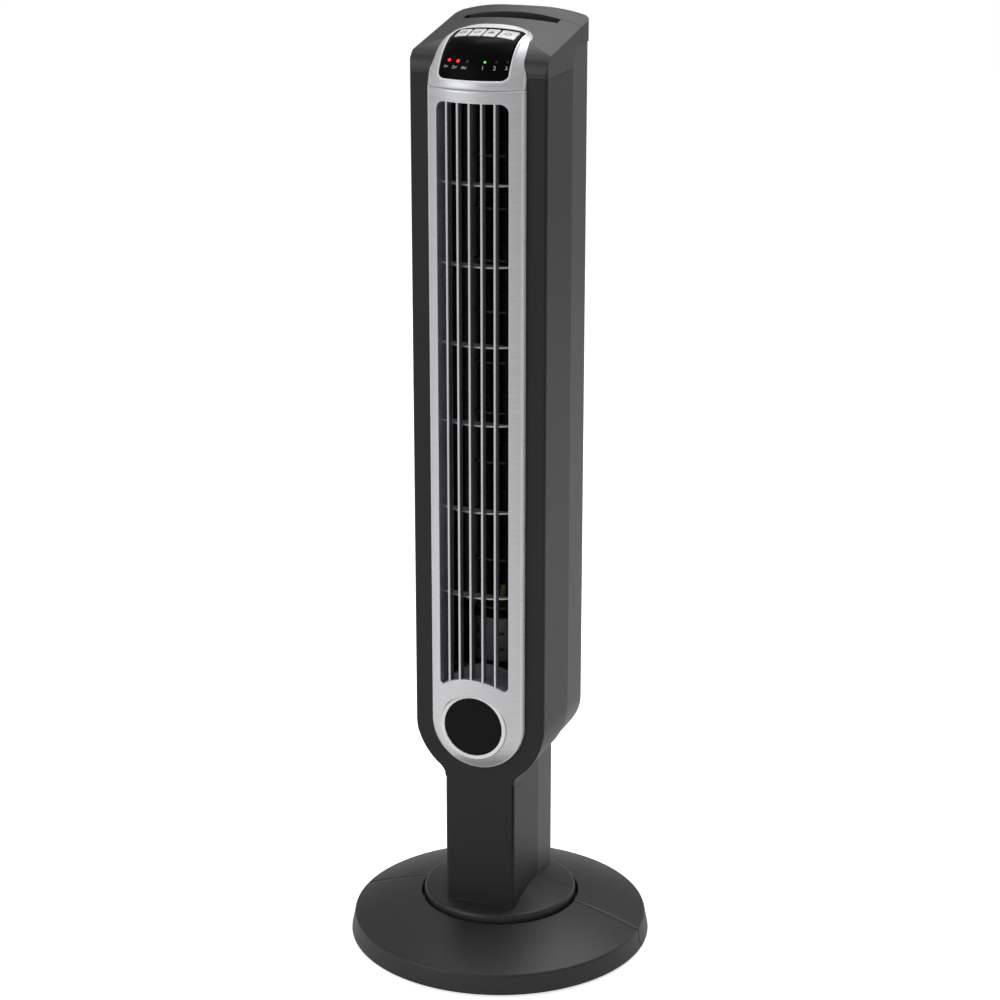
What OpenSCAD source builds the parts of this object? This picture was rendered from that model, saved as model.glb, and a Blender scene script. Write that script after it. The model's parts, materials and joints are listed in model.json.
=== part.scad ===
// Tower fan on a round two-piece base: cross-flow blower, swinging tower, key pad and handle recess.
// Frame: origin on the ground under the swing axis, +Z up, the air outlet faces -Y.

/* [Overall] */
// Height from the ground to the highest point
overall_h = 914.4; // [860:0.1:1100]
// Radius of the base at its lower edge
base_r = 149.2; // [135:0.1:180]
// Width of the tower
tower_w = 131.8; // [126:0.1:160]
// Distance from the swing axis to the flat front face
tower_front = 56.8; // [55:0.1:70]
// Distance from the swing axis to the back of the front casing's outline
tower_back = 64; // [63:0.1:80]
// Wall of the casings
wall = 2.4; // [1.8:0.1:3.2]

/* [Tower] */
// Height of the centre of the tower's round lower end
round_z = 245.5; // [236:0.5:270]
// Width of the neck
neck_w = 71; // [66:0.5:80]
// Distance from the swing axis to the back of the neck's outline
neck_back = 59.7; // [58:0.1:62]
// Radius that blends the neck into the round end
neck_fillet = 14; // [8:0.5:20]
// Where the front and rear casings meet
split_y = 13; // [8:0.5:18]
// How far the rear casing stands in from the front one
rear_step = 1; // [0.5:0.1:1.2]
// Radius of the rear upright corners
rear_corner = 10; // [6:0.5:14]
// Radius of the front upright corners
front_corner = 3; // [2:0.5:6]
// Radius of the turntable foot
foot_r = 75.5; // [74:0.1:76]
// Fall of the turntable foot's cone per millimetre outward
foot_slope = 0.27; // [0.2:0.01:0.3]

/* [Front panel] */
// Width of the silver panel
panel_w = 93; // [88:0.5:104]
// Radius of the panel's bowed front
panel_r = 70; // [66:0.5:90]
// Distance from the swing axis to the panel's foremost line
panel_apex = 79.5; // [77:0.1:84]
// Wall of the panel
panel_wall = 2.2; // [1.8:0.1:3]
// Width of the air outlet
outlet_w = 69; // [60:0.5:75]
// Radius of the arch under the outlet
arch_r = 50.5; // [46:0.5:56]
// Upright bars across the outlet
bar_count = 5; // [3:1:7]
// Distance between two bars
bar_pitch = 11.5; // [9:0.1:11.5]
// Width of a bar
bar_w = 2.3; // [1.6:0.1:3]
// Depth of a bar, front to back
bar_d = 9; // [6:0.5:12]
// Thickness of a cross rib
rib_t = 1.5; // [1:0.1:2.5]
// Distance between the upper cross ribs
rib_pitch = 74.6; // [70:0.1:82]
// Distance between the lower cross ribs
low_rib_pitch = 84.5; // [70:0.1:90]
// Radius of the round badge plate
badge_r = 29.9; // [24:0.1:30]
// Rim of the badge ring
badge_rim = 3.1; // [2:0.1:3.5]

/* [Top] */
// Radius of the crowned top, across
crown_r = 210; // [190:1:300]
// Fall of the top towards the front, in degrees
crown_tilt = 10.8; // [8:0.1:12]
// Radius of the top's front edge
brow_r = 20; // [14:0.5:24]
// Radius of the top's rear edge
rear_edge_r = 8; // [5:0.5:10]
// How far the bezel stands above the top
bezel_lift = 3; // [2.6:0.1:4]
// Back edge of the bezel
bezel_back = -9; // [-11:0.5:-7]
// Width of the display window
window_w = 66; // [64:0.5:70]
// Front edge of the handle recess on the middle line
recess_front = 18; // [14:0.5:22]
// Width of the handle recess
recess_w = 92; // [80:1:96]
// Depth of the handle recess under the crown
recess_depth = 34; // [26:1:36]

/* [Blower] */
// Radius of the blower wheel
wheel_r = 39; // [34:0.5:40]
// Distance of the wheel's axis behind the swing axis
wheel_y = 12; // [10:0.5:14]
// Blades around the wheel
blade_count = 20; // [12:1:28]
// Rings along the wheel
ring_count = 11; // [6:1:14]
// Radius of the blower's shaft
shaft_r = 4; // [3:0.5:5]

/* [Base and swing] */
// Wall of the base shells
base_wall = 2.6; // [2:0.1:3.4]
// Radius of the opening that the turntable foot turns in
well_r = 78.5; // [78:0.1:80]
// Radius of the spindle that the tower swings on
spindle_r = 7; // [6:0.5:8]
// Distance from the swing axis to the swing motor's shaft
crank_centre = 20; // [19:0.5:22]
// Largest swing to either side, in degrees
swing = 40; // [30:1:40]
// Feet under the base
foot_count = 6; // [4:1:8]

/* [Hidden] */
$fn = 96;
run_gap = 0.3;       // between faces that move past each other
shaft_gap = 0.06;    // radial clearance of a shaft in its bearing
trim_gap = 0.25;     // round a part that drops into a recess
far = 400;

// heights that hang from the top
cap_seam = overall_h - 49.4;
panel_top = overall_h - 59.4;
outlet_top = overall_h - 70.9;
rear_seam = overall_h - 29.9;
outlet_corner = 8;
rib_count = 6;
function rib_z(i) = outlet_top - min(i + 1, 4) * rib_pitch - max(i - 3, 0) * low_rib_pitch;

// crown of the top: a line that passes over the rear edge's round
rear_face = tower_back - rear_step;
edge_y = rear_face + rear_step - rear_edge_r - 0.8;
crown_z = overall_h - rear_edge_r + rear_edge_r * cos(crown_tilt)
    - (edge_y - rear_edge_r * sin(crown_tilt)) * tan(crown_tilt);

// neck blend
blend_x = neck_w / 2 + neck_fillet;
blend_z = round_z - sqrt(pow(tower_w / 2 + neck_fillet, 2) - pow(blend_x, 2));

// front edge of the top
brow_z = cap_seam + 2;
brow_wide_r = 60;

// base: a spherical dome over a slightly tapered rim
rim_z = 2;
rim_k = 0.1875;
crest_z = 21.2;
crest_round = 3;
well_z = 41.1;
dome_r = 390;
dome_z = well_z - sqrt(pow(dome_r, 2) - pow(80, 2));

// turntable foot
foot_low = 34;
foot_round = 4.5;
foot_peak = 68.2;
neck_low = 48;

// swing works, from the ground up
plate_z = 24;
plate_t = 2;
plate_r = 96;
plate_screw_r = 90;
bush_r = 10;
bush_flange_r = 11.5;
bush_low = 19;
washer_t = 2;
washer_in = 55;
washer_out = 66;
swivel_z = 40;
swivel_t = 2.5;
swivel_r = 66;
swivel_screw_r = 50;
crank_r = crank_centre * sin(swing);
crank_pin_r = 2;
crank_z = 33;
crank_t = 4;
fork_play = 0.3 + 0.1127 * crank_centre;
fork_t = 3;
fork_h = 5.5;
swing_shaft_r = 2.5;
swing_motor_r = 21;
swing_motor_h = 18;
swing_ear = 14;

// blower works
deck_t = 3;
deck_z = 291;
deck_half = 52;
grommet_t = 3;
guide_t = 2;
guide_gap = 4;
guide_r = wheel_r + guide_gap;
motor_gap = 3;
motor_r = guide_r - motor_gap;
motor_spot_in = 8;
motor_h = 44;
motor_z = deck_z + deck_t + grommet_t;
wheel_low = 350;
wheel_high = outlet_top - 5.5;
bearing_deck_z = outlet_top - 1.5;
bearing_h = 11;
duct_wall = 2;
duct_back = 34;
hub_r = 9;
duct_lip = 7;
bar_root = 0.4;
duct_gap = 0.1;

// screws that join the casings: side, height
boss_in = wall + 4.2;
boss_x = tower_w / 2 - boss_in;
screw_spots = [[neck_w / 2 - boss_in, 80], [neck_w / 2 - boss_in, blend_z - 20], [boss_x, round_z],
    [boss_x, (round_z + cap_seam) / 2], [boss_x, cap_seam - 12]];

// control pad
key_front = -44.3;
key_back = -25.5;
key_edges = [[-27.5, -16], [-14.2, -2.3], [-0.9, 10.9], [12.9, 29]];
key_travel = 0.5;
board_top = -12;
board_t = 1.6;
window_low = overall_h - 50.4;
window_back = -19.5;
window_corner = 6;
window_back_corner = 3;
bezel_skin = 4.2;
window_sink = 0.4;
window_t = 1.8;
bezel_turn = 60.3;
bezel_turn_z = overall_h - 66.4;
lamp_z = overall_h - 43;
timer_x = [-24.5, -17, -9.5];
speed_x = [2.6, 12.4, 22.4];
board_posts = [[-33, -42], [33, -42], [-33, -14], [33, -14]];
board_front = -46;
board_back = -9;
key_ledge = 1.3;
pad_half = 30.4;

// ---- helpers ----------------------------------------------------------------------------------

// a shape drawn in X and Z, between two values of Y
module xz(y0, y1) translate([0, y1, 0]) rotate([90, 0, 0]) linear_extrude(y1 - y0) children();

// a shape drawn in Y and Z, between two values of X
module yz(x0, x1) translate([x0, 0, 0]) rotate([90, 0, 90]) linear_extrude(x1 - x0) children();

// a shape drawn in X and Y, between two values of Z
module xy(z0, z1) translate([0, 0, z0]) linear_extrude(z1 - z0) children();

module slab_y(y0, y1, z0 = -10, z1 = 1300) translate([-far, y0, z0]) cube([2 * far, y1 - y0, z1 - z0]);

module rod_y(r, y0, y1) translate([0, y1, 0]) rotate([90, 0, 0]) cylinder(r = r, h = y1 - y0);

module tube(r_in, r_out, z0, z1) difference() {
    translate([0, 0, z0]) cylinder(r = r_out, h = z1 - z0);
    translate([0, 0, z0 - 1]) cylinder(r = r_in, h = z1 - z0 + 2);
}

module around(count, r, start = 0) for (k = [0:count - 1]) rotate(start + 360 * k / count)
    translate([r, 0, 0]) children();

module wall_line(p, q, t) translate(p) rotate(atan2(q[1] - p[1], q[0] - p[0]))
    translate([0, -t / 2]) square([norm(q - p), t]);

// rectangle with its own corner radius at the front and at the back
module plan(half_w, y0, y1, r_front, r_back) {
    polygon([[-half_w, y0 + r_front], [-half_w + r_front, y0], [half_w - r_front, y0],
        [half_w, y0 + r_front], [half_w, y1 - r_back], [half_w - r_back, y1],
        [-half_w + r_back, y1], [-half_w, y1 - r_back]]);
    for (s = [-1, 1]) {
        translate([s * (half_w - r_front), y0 + r_front]) circle(r_front);
        translate([s * (half_w - r_back), y1 - r_back]) circle(r_back);
    }
}

// ---- casing forms, each drawn a distance i inside the outer skin -------------------------------

module tower_outline(i, top) {
    translate([-tower_w / 2 + i, round_z]) square([tower_w - 2 * i, top - round_z]);
    translate([0, round_z]) circle(tower_w / 2 - i, $fn = 180);
    difference() {
        polygon([[-blend_x, blend_z], [blend_x, blend_z], [0, round_z]]);
        for (s = [-1, 1]) translate([s * blend_x, blend_z]) circle(neck_fillet + i);
    }
}

module tower_form(i, low, top) intersection() {
    xz(-tower_front + i, tower_back - i) tower_outline(i, top);
    xy(low, top) plan(tower_w / 2 - i, -tower_front + i, tower_back - i,
        max(front_corner - i, 0.5), rear_corner - i);
}

module neck_form(i, low) xy(low, blend_z + 6)
    plan(neck_w / 2 - i, -tower_front + i, neck_back - i, max(front_corner - i, 0.5), 6 - i);

module tower_shell(i) difference() {
    union() {
        tower_form(i, blend_z, overall_h + 20);
        neck_form(i, neck_low);
    }
    tower_form(i + wall, blend_z + wall, overall_h + 21);
    neck_form(i + wall, neck_low - 1);
}

module foot_section(i) {
    lean = sqrt(1 + foot_slope * foot_slope);
    r = foot_r - i;
    rho = foot_round - i;
    peak = foot_peak - i * lean;
    cz = peak - foot_slope * (r - rho) - rho * lean;
    polygon([[0, foot_low - i], [r, foot_low - i], [r, cz], [r - rho, cz],
        [r - rho + rho * foot_slope / lean, cz + rho / lean], [0, peak]]);
    translate([r - rho, cz]) circle(rho);
}

module foot_shell() difference() {
    rotate_extrude($fn = 180) foot_section(0);
    rotate_extrude($fn = 180) foot_section(wall);
    neck_form(wall, foot_low);
}

// joint between the casings, seen from the side: the rear casing's side has a round top corner
side_corner = 18;
module rear_side() {
    y0 = split_y;
    polygon([[y0, 0], [100, 0], [100, rear_seam], [y0 + side_corner, rear_seam],
        [y0 + side_corner, rear_seam - side_corner], [y0, rear_seam - side_corner]]);
    translate([y0 + side_corner, rear_seam - side_corner]) circle(side_corner);
}

// crowned top: turned about an axis that leans with the crown
module crown_axis() translate([0, 0, crown_z - crown_r / cos(crown_tilt)])
    rotate([crown_tilt, 0, 0]) children();

// seated on the crown's middle line, with its own Z square to the crown
module on_crown() translate([0, 0, crown_z]) rotate([crown_tilt, 0, 0]) children();

// the top seen from the side: a tight arc at the brow, then a wide one up to the crown
module brow_section(i) {
    arc_y = -tower_front + brow_r - 0.05;
    turn_z = brow_z + (brow_r - i) * sin(45);
    wide_y = arc_y + (brow_wide_r - brow_r) * cos(45);
    wide_z = brow_z - (brow_wide_r - brow_r) * sin(45);
    translate([-100, 0]) square([200, brow_z]);
    translate([arc_y, brow_z]) circle(brow_r - i);
    translate([arc_y, brow_z - 1]) square([wide_y - arc_y, turn_z - brow_z + 1]);
    intersection() {
        translate([wide_y, wide_z]) circle(brow_wide_r - i, $fn = 180);
        translate([-100, turn_z]) square([wide_y + 100, 100]);
    }
    translate([bezel_back - 4, brow_z - 2]) square([edge_y - bezel_back + 4, 100]);
    translate([edge_y - 1, brow_z - 2]) square([100, overall_h - rear_edge_r - brow_z + 2]);
    translate([edge_y, overall_h - rear_edge_r]) circle(rear_edge_r - i);
}

module crown_round(i) crown_axis() rotate([-90, 0, 0]) translate([0, 0, -far])
    cylinder(r = crown_r - i, h = 2 * far, $fn = 360);

module black_top(i) intersection() {
    xy(cap_seam - 40, overall_h + 20) plan(tower_w / 2 - i, -tower_front + i, tower_back - i,
        max(front_corner - i, 0.5), rear_corner - i);
    yz(-tower_w, tower_w) brow_section(i);
    crown_round(i);
}

module black_shell() difference() {
    black_top(0);
    black_top(wall);
    translate([-far, -far, 0]) cube([2 * far, 2 * far, cap_seam - 39]);
}

// bezel: the bowed front rolls back over the top
module bezel_form(i) intersection() {
    translate([0, -panel_apex + bezel_turn, bezel_turn_z]) rotate([0, 90, 0])
        rotate_extrude($fn = 180) intersection() {
            translate([bezel_turn - panel_r, 0]) circle(panel_r - i, $fn = 180);
            translate([0, -panel_w / 2]) square([bezel_turn + 1, panel_w]);
        }
    crown_round(i - bezel_lift);
    xy(panel_top - max(i, 0), overall_h + 20)
        plan(panel_w / 2 - i, -far, bezel_back - i, 1, 18 - i);
}

// the window's space, grown by g: level lower edge seen from the front, straight back edge from above
module window_prism(g) intersection() {
    xz(-far, 0) {
        translate([-window_w / 2 - g, window_low + window_corner])
            square([window_w + 2 * g, far]);
        translate([-window_w / 2 + window_corner, window_low - g])
            square([window_w - 2 * window_corner, window_corner + g + 1]);
        for (s = [-1, 1]) translate([s * (window_w / 2 - window_corner), window_low + window_corner])
            circle(window_corner + g);
    }
    xy(cap_seam - 20, overall_h + 40)
        plan(window_w / 2 + g, -far, window_back + g, 1, window_back_corner + g);
}

module key_prism(k, g, z0, z1) on_crown() xy(z0, z1)
    translate([key_edges[k][0] - g, key_front - g])
        square([key_edges[k][1] - key_edges[k][0] + 2 * g, key_back - key_front + 2 * g]);

// front panel: an upright half round with a ball end
module panel_ball(i) translate([0, -panel_apex + panel_r, 0]) {
    translate([0, 0, round_z]) cylinder(r = panel_r - i, h = panel_top - round_z + 2, $fn = 180);
    translate([0, 0, round_z]) sphere(r = panel_r - i, $fn = 180);
}

module panel_outline(i, top) {
    translate([-panel_w / 2 + i, round_z]) square([panel_w - 2 * i, top - round_z]);
    translate([0, round_z]) circle(panel_w / 2 - i, $fn = 180);
}

module outlet_outline(g) {
    r = outlet_corner + g;
    h = outlet_w / 2 + g;
    difference() {
        union() {
            translate([-h, round_z]) square([2 * h, outlet_top + g - r - round_z]);
            translate([-h + r, round_z]) square([2 * h - 2 * r, outlet_top + g - round_z]);
            for (s = [-1, 1]) translate([s * (h - r), outlet_top + g - r]) circle(r);
        }
        translate([0, round_z]) circle(arch_r - g, $fn = 180);
    }
}

// ---- base --------------------------------------------------------------------------------------

module base_section(i) {
    rho = crest_round - i * 0.8;
    rd = dome_r - i - rho;
    lean = sqrt(1 + rim_k * rim_k);
    edge = base_r + rim_k * rim_z - (i + rho) * lean;
    qa = 1 + rim_k * rim_k;
    qb = -2 * (edge * rim_k + dome_z);
    qc = edge * edge + dome_z * dome_z - rd * rd;
    cz = (-qb + sqrt(qb * qb - 4 * qa * qc)) / (2 * qa);
    cr = edge - rim_k * cz;
    ux = cr / norm([cr, cz - dome_z]);
    uz = (cz - dome_z) / norm([cr, cz - dome_z]);
    low = rim_z - (i > 0 ? 1 : 0);
    tip_r = cr + rho * ux;
    polygon([[0, low], [base_r + rim_k * (rim_z - low) - i * lean, low],
        [cr + rho / lean, cz + rho * rim_k / lean], [cr, cz], [tip_r, cz + rho * uz],
        [tip_r, low + 1], [0, low + 1]]);
    translate([cr, cz]) circle(rho);
    intersection() {
        translate([0, dome_z]) circle(dome_r - i, $fn = 360);
        translate([0, low]) square([tip_r, 80]);
    }
}

module base_form(i) rotate_extrude($fn = 180) base_section(i);

module plate_spots() around(4, plate_screw_r, 45) children();
module foot_spots() around(foot_count, base_r - 16.5, 30) children();
joint_x = 111;

module base_shell() difference() {
    union() {
        difference() {
            base_form(0);
            base_form(base_wall);
        }
        intersection() {
            base_form(1);
            union() {
                tube(well_r, well_r + base_wall, foot_low - 1, 60);
                plate_spots() translate([0, 0, plate_z + plate_t]) cylinder(r = 5, h = 30);
                foot_spots() translate([0, 0, 4]) cylinder(r = 9.5, h = 40);
                for (s = [-1, 1]) translate([s * joint_x - 7, -12, 8]) cube([14, 24, 40]);
            }
        }
    }
    translate([0, 0, -1]) cylinder(r = well_r, h = 80, $fn = 180);
    plate_spots() translate([0, 0, plate_z]) cylinder(r = 1.6, h = 10);
    foot_spots() translate([0, 0, 3]) cylinder(r = 3, h = 8);
    for (s = [-1, 1]) translate([s * joint_x, 0, 16]) {
        rod_y(1.6, -10, 8);
        rod_y(3.6, 8, 13);
    }
}

module base_front() color("#4a4a4c") intersection() {
    base_shell();
    slab_y(-far, 0);
}

module base_rear() color("#4a4a4c") intersection() {
    base_shell();
    slab_y(0, far);
}

module rubber_feet() color("#202020") foot_spots() {
    cylinder(r = 9, h = 4);
    translate([0, 0, 3.5]) cylinder(r = 3, h = 6.5);
}

module base_screws() color("silver") for (s = [-1, 1]) translate([s * joint_x, 0, 16]) {
    rod_y(1.6, -9, 8.5);
    rod_y(3.2, 8, 10);
}

module bearing_plate() color("#9a9c9e") difference() {
    translate([0, 0, plate_z]) cylinder(r = plate_r, h = plate_t, $fn = 180);
    translate([0, 0, plate_z - 1]) cylinder(r = bush_r, h = plate_t + 2);
    plate_spots() translate([0, 0, plate_z - 1]) cylinder(r = 1.9, h = plate_t + 2);
}

module plate_screws() color("silver") plate_spots() {
    translate([0, 0, plate_z - 2]) cylinder(r = 3.5, h = 2);
    translate([0, 0, plate_z - 0.5]) cylinder(r = 1.6, h = 9.5);
}

module pivot_bush() color("#e8e4d8") difference() {
    union() {
        translate([0, 0, bush_low]) cylinder(r = bush_r, h = plate_z + plate_t - bush_low);
        translate([0, 0, plate_z + plate_t]) cylinder(r = bush_flange_r, h = 2);
    }
    translate([0, 0, bush_low - 1]) cylinder(r = spindle_r + shaft_gap, h = 20);
}

module thrust_washer() color("#e8e4d8")
    tube(washer_in, washer_out, plate_z + plate_t, plate_z + plate_t + washer_t);

module swing_fork() color("#303032") difference() {
    half = crank_pin_r + fork_play + fork_t;
    outer = crank_centre + crank_r + crank_pin_r + 1.5;
    translate([-half, -outer - fork_t, plate_z + plate_t])
        cube([2 * half, outer + fork_t - bush_flange_r - 1, fork_h]);
    translate([-half + fork_t, -outer, plate_z + plate_t - 1])
        cube([2 * (half - fork_t), outer, fork_h + 2]);
}

// ---- swing works on the tower ------------------------------------------------------------------

module swivel_spots() around(4, swivel_screw_r, 45) children();
module swing_motor_spots() for (s = [-1, 1]) translate([s * swing_ear, -crank_centre, 0]) children();

module swivel_plate() color("#9a9c9e") difference() {
    union() {
        translate([0, 0, swivel_z]) cylinder(r = swivel_r, h = swivel_t, $fn = 180);
        tube(washer_in + 2, washer_out - 3, plate_z + plate_t + washer_t + run_gap, swivel_z + 1);
        translate([0, 0, bush_low - run_gap]) cylinder(r = spindle_r, h = swivel_z + 1 - bush_low);
    }
    translate([0, 0, bush_low - 1]) cylinder(r = 2, h = 12);
    translate([0, -crank_centre, swivel_z - 1]) cylinder(r = swing_shaft_r + 2, h = swivel_t + 2);
    swing_motor_spots() translate([0, 0, swivel_z - 1]) cylinder(r = 1.6, h = swivel_t + 2);
    swivel_spots() translate([0, 0, swivel_z - 1]) cylinder(r = 1.8, h = swivel_t + 2);
}

module swivel_screws() color("silver") swivel_spots() {
    translate([0, 0, swivel_z - 2]) cylinder(r = 3.2, h = 2);
    translate([0, 0, swivel_z - 0.5]) cylinder(r = 1.5, h = 8);
}

module spindle_washer() color("silver") tube(2, 11, bush_low - run_gap - 1.5, bush_low - run_gap);

module spindle_screw() color("silver") {
    translate([0, 0, bush_low - run_gap - 4.5]) cylinder(r = 4.5, h = 3);
    translate([0, 0, bush_low - run_gap - 2]) cylinder(r = 2, h = 12);
}

module swing_motor() color("#b9bbbd") translate([0, -crank_centre, swivel_z + swivel_t]) difference() {
    union() {
        cylinder(r = swing_motor_r, h = swing_motor_h);
        translate([0, 0, swing_motor_h - 0.5]) cylinder(r = 6, h = 3);
    }
    translate([0, 0, -1]) cylinder(r = swing_shaft_r + shaft_gap, h = swing_motor_h - 1);
    for (s = [-1, 1]) translate([s * swing_ear, 0, -1]) cylinder(r = 1.6, h = 7);
}

module swing_motor_screws() color("silver") swing_motor_spots() {
    translate([0, 0, swivel_z - 1.6]) cylinder(r = 2.8, h = 1.6);
    translate([0, 0, swivel_z - 0.5]) cylinder(r = 1.6, h = 8);
}

module swing_shaft() color("silver") translate([0, -crank_centre, crank_z])
    cylinder(r = swing_shaft_r, h = swivel_z + swivel_t + 12 - crank_z);

module crank() color("#e8e4d8") translate([0, -crank_centre, 0]) difference() {
    union() {
        translate([0, 0, crank_z]) cylinder(r = 6, h = crank_t);
        translate([-4, -crank_r, crank_z]) cube([8, crank_r, crank_t]);
        translate([0, -crank_r, crank_z]) cylinder(r = 4, h = crank_t);
        translate([0, -crank_r, plate_z + plate_t + 1.5]) cylinder(r = crank_pin_r, h = crank_z - plate_z - plate_t - 1);
    }
    translate([0, 0, crank_z - 1]) cylinder(r = swing_shaft_r, h = crank_t + 2);
}

// ---- casings -----------------------------------------------------------------------------------

module screw_places() for (p = screw_spots, s = [-1, 1]) translate([s * p[0], 0, p[1]]) children();

module front_housing() color("#2c2c2e") difference() {
    union() {
        intersection() {
            tower_shell(0);
            slab_y(-far, split_y, 0, cap_seam);
        }
        intersection() {
            foot_shell();
            slab_y(-far, split_y);
        }
        intersection() {
            union() {
                screw_places() rod_y(4.6, split_y - 15, split_y);
                for (s = [-1, 1]) translate([s * swivel_screw_r * cos(45), -swivel_screw_r * sin(45),
                    swivel_z + swivel_t]) cylinder(r = 4, h = 20);
            }
            union() {
                tower_form(0.8, blend_z + 1, cap_seam);
                neck_form(0.8, neck_low);
                rotate_extrude($fn = 180) foot_section(1);
            }
        }
    }
    xz(-tower_front - 1, -tower_front + wall + 1) outlet_outline(duct_wall + trim_gap);
    screw_places() rod_y(1.4, split_y - 13, split_y + 1);
    for (s = [-1, 1]) translate([s * swivel_screw_r * cos(45), -swivel_screw_r * sin(45),
        swivel_z + swivel_t - 1]) cylinder(r = 1.5, h = 7);
}

slot_w = 4.4;
slot_pitch = 8;
slot_columns = 13;
slot_rows = 6;
slot_low = deck_z + 14;
slot_high = outlet_top - 14;
slot_bridge = 7;
grommet_z = 78;
grommet_r = 5.5;
screw_floor = split_y + 11;

module intake_slots() {
    row_h = (slot_high - slot_low + slot_bridge) / slot_rows;
    for (c = [0:slot_columns - 1], r = [0:slot_rows - 1])
        translate([(c - (slot_columns - 1) / 2) * slot_pitch - slot_w / 2, slot_low + r * row_h])
            square([slot_w, row_h - slot_bridge]);
}

module rear_housing() color("#3a3a3d") difference() {
    union() {
        intersection() {
            tower_shell(rear_step);
            slab_y(split_y, far, 0, rear_seam);
            yz(-far, far) rear_side();
        }
        intersection() {
            foot_shell();
            slab_y(split_y, far);
        }
        intersection() {
            union() {
                screw_places() rod_y(5, split_y, tower_back);
                for (s = [-1, 1]) translate([s * swivel_screw_r * cos(45), swivel_screw_r * sin(45),
                    swivel_z + swivel_t]) cylinder(r = 4, h = 20);
            }
            union() {
                tower_form(rear_step + 0.8, blend_z + 1, cap_seam);
                neck_form(rear_step + 0.8, neck_low);
                rotate_extrude($fn = 180) foot_section(1);
            }
        }
    }
    xz(rear_face - wall - 1, rear_face + 1) intake_slots();
    screw_places() {
        rod_y(1.8, split_y - 1, tower_back);
        rod_y(3.6, screw_floor, tower_back + 1);
    }
    translate([0, 0, grommet_z]) rod_y(grommet_r, 40, 70);
    for (s = [-1, 1]) translate([s * swivel_screw_r * cos(45), swivel_screw_r * sin(45),
        swivel_z + swivel_t - 1]) cylinder(r = 1.5, h = 7);
}

module housing_screws() color("silver") screw_places() {
    rod_y(1.4, split_y - 12, screw_floor + 0.5);
    rod_y(3.2, screw_floor, screw_floor + 2.2);
}

neck_rear = neck_back - rear_step;
module cord_grommet() color("#202020") translate([0, 0, grommet_z]) difference() {
    union() {
        rod_y(grommet_r, neck_rear - wall, neck_rear);
        rod_y(grommet_r + 2.5, neck_rear, neck_rear + 2);
        rod_y(grommet_r + 2, neck_rear - wall - 2, neck_rear - wall);
    }
    rod_y(3.4, 30, 80);
}

module capacitor() color("#d9d6cc") translate([-19, neck_rear - wall - 15, 108]) cube([38, 15, 24]);

// ---- outlet side -------------------------------------------------------------------------------

module front_panel() color("#c9cacc") {
    difference() {
        intersection() {
            panel_ball(0);
            xz(-90, -tower_front) panel_outline(0, panel_top);
        }
        intersection() {
            panel_ball(panel_wall);
            xz(-90, -tower_front + 1) panel_outline(panel_wall, panel_top + 1);
        }
        xz(-90, -tower_front + 1) outlet_outline(0);
        translate([0, 0, round_z]) rod_y(badge_r + badge_rim + 0.5, -90, -tower_front + 1);
    }
    outlet_bars(bar_root, panel_wall);
    outlet_bars(-duct_gap, bar_d);
}

// upright bars from the panel's face to the given depth, reaching past the opening by g
module outlet_bars(g, depth) intersection() {
    difference() {
        panel_ball(0);
        panel_ball(depth);
    }
    xz(-90, -tower_front) intersection() {
        outlet_outline(g);
        for (k = [0:bar_count - 1])
            translate([(k - (bar_count - 1) / 2) * bar_pitch - bar_w / 2, round_z])
                square([bar_w, outlet_top - round_z + 2]);
    }
}

module outlet_duct() color("#a9abad") {
    intersection() {
        panel_ball(panel_wall);
        xz(-90, -duct_back) difference() {
            outlet_outline(duct_wall);
            outlet_outline(0);
        }
    }
    xz(-tower_front + wall, -tower_front + wall + 2) difference() {
        outlet_outline(duct_lip);
        outlet_outline(0);
    }
    for (i = [0:rib_count - 1]) intersection() {
        panel_ball(bar_d);
        translate([-outlet_w / 2 - 0.5, -90, rib_z(i) - rib_t / 2])
            cube([outlet_w + 1, 90 - tower_front - 2, rib_t]);
    }
}

badge_y = -72.5;
module badge_ring() color("#e6e7e9") translate([0, 0, round_z]) difference() {
    union() {
        rod_y(badge_r + badge_rim, badge_y - 0.8, badge_y + 4);
        rod_y(10, badge_y + 3, -tower_front);
    }
    rod_y(badge_r, badge_y - 2, badge_y + 2);
}

module badge_plate() color("#101012") translate([0, 0, round_z]) rod_y(badge_r, badge_y, badge_y + 2);

// ---- blower ------------------------------------------------------------------------------------

module ring_sector(r0, r1, a0, a1) intersection() {
    difference() {
        circle(r1);
        circle(r0);
    }
    polygon([[0, 0], for (k = [0:4]) 120 * [cos(a0 + (a1 - a0) * k / 4), sin(a0 + (a1 - a0) * k / 4)]]);
}

module air_guide() color("#1c1c1e") xy(deck_z + deck_t, bearing_deck_z) {
    tongue_a = -38;
    side = outlet_w / 2 + duct_wall / 2;
    translate([0, wheel_y]) {
        ring_sector(guide_r, guide_r + guide_t, 75, 181);
        ring_sector(guide_r, guide_r + guide_t, tongue_a, -16);
    }
    wall_line([-guide_r - guide_t / 2, wheel_y + 0.5], [-side, -duct_back + 0.3], guide_t);
    wall_line([(guide_r + guide_t / 2) * cos(tongue_a), wheel_y + (guide_r + guide_t / 2) * sin(tongue_a)],
        [side, -duct_back + 0.3], guide_t);
}

module motor_spots() translate([0, wheel_y, 0]) around(4, motor_r - motor_spot_in, 45) children();

module deck_plan() translate([-deck_half, -duct_back]) square([2 * deck_half, rear_face - wall + duct_back]);

module motor_deck() color("#242426") difference() {
    xy(deck_z, deck_z + deck_t) deck_plan();
    translate([0, wheel_y, deck_z - 1]) cylinder(r = 14, h = deck_t + 2);
    motor_spots() translate([0, 0, deck_z - 1]) cylinder(r = 1.8, h = deck_t + 2);
}

module bearing_deck() color("#242426") difference() {
    xy(bearing_deck_z, bearing_deck_z + deck_t) deck_plan();
    translate([0, wheel_y, bearing_deck_z - 1]) cylinder(r = shaft_r + 3, h = deck_t + 2);
}

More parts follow.
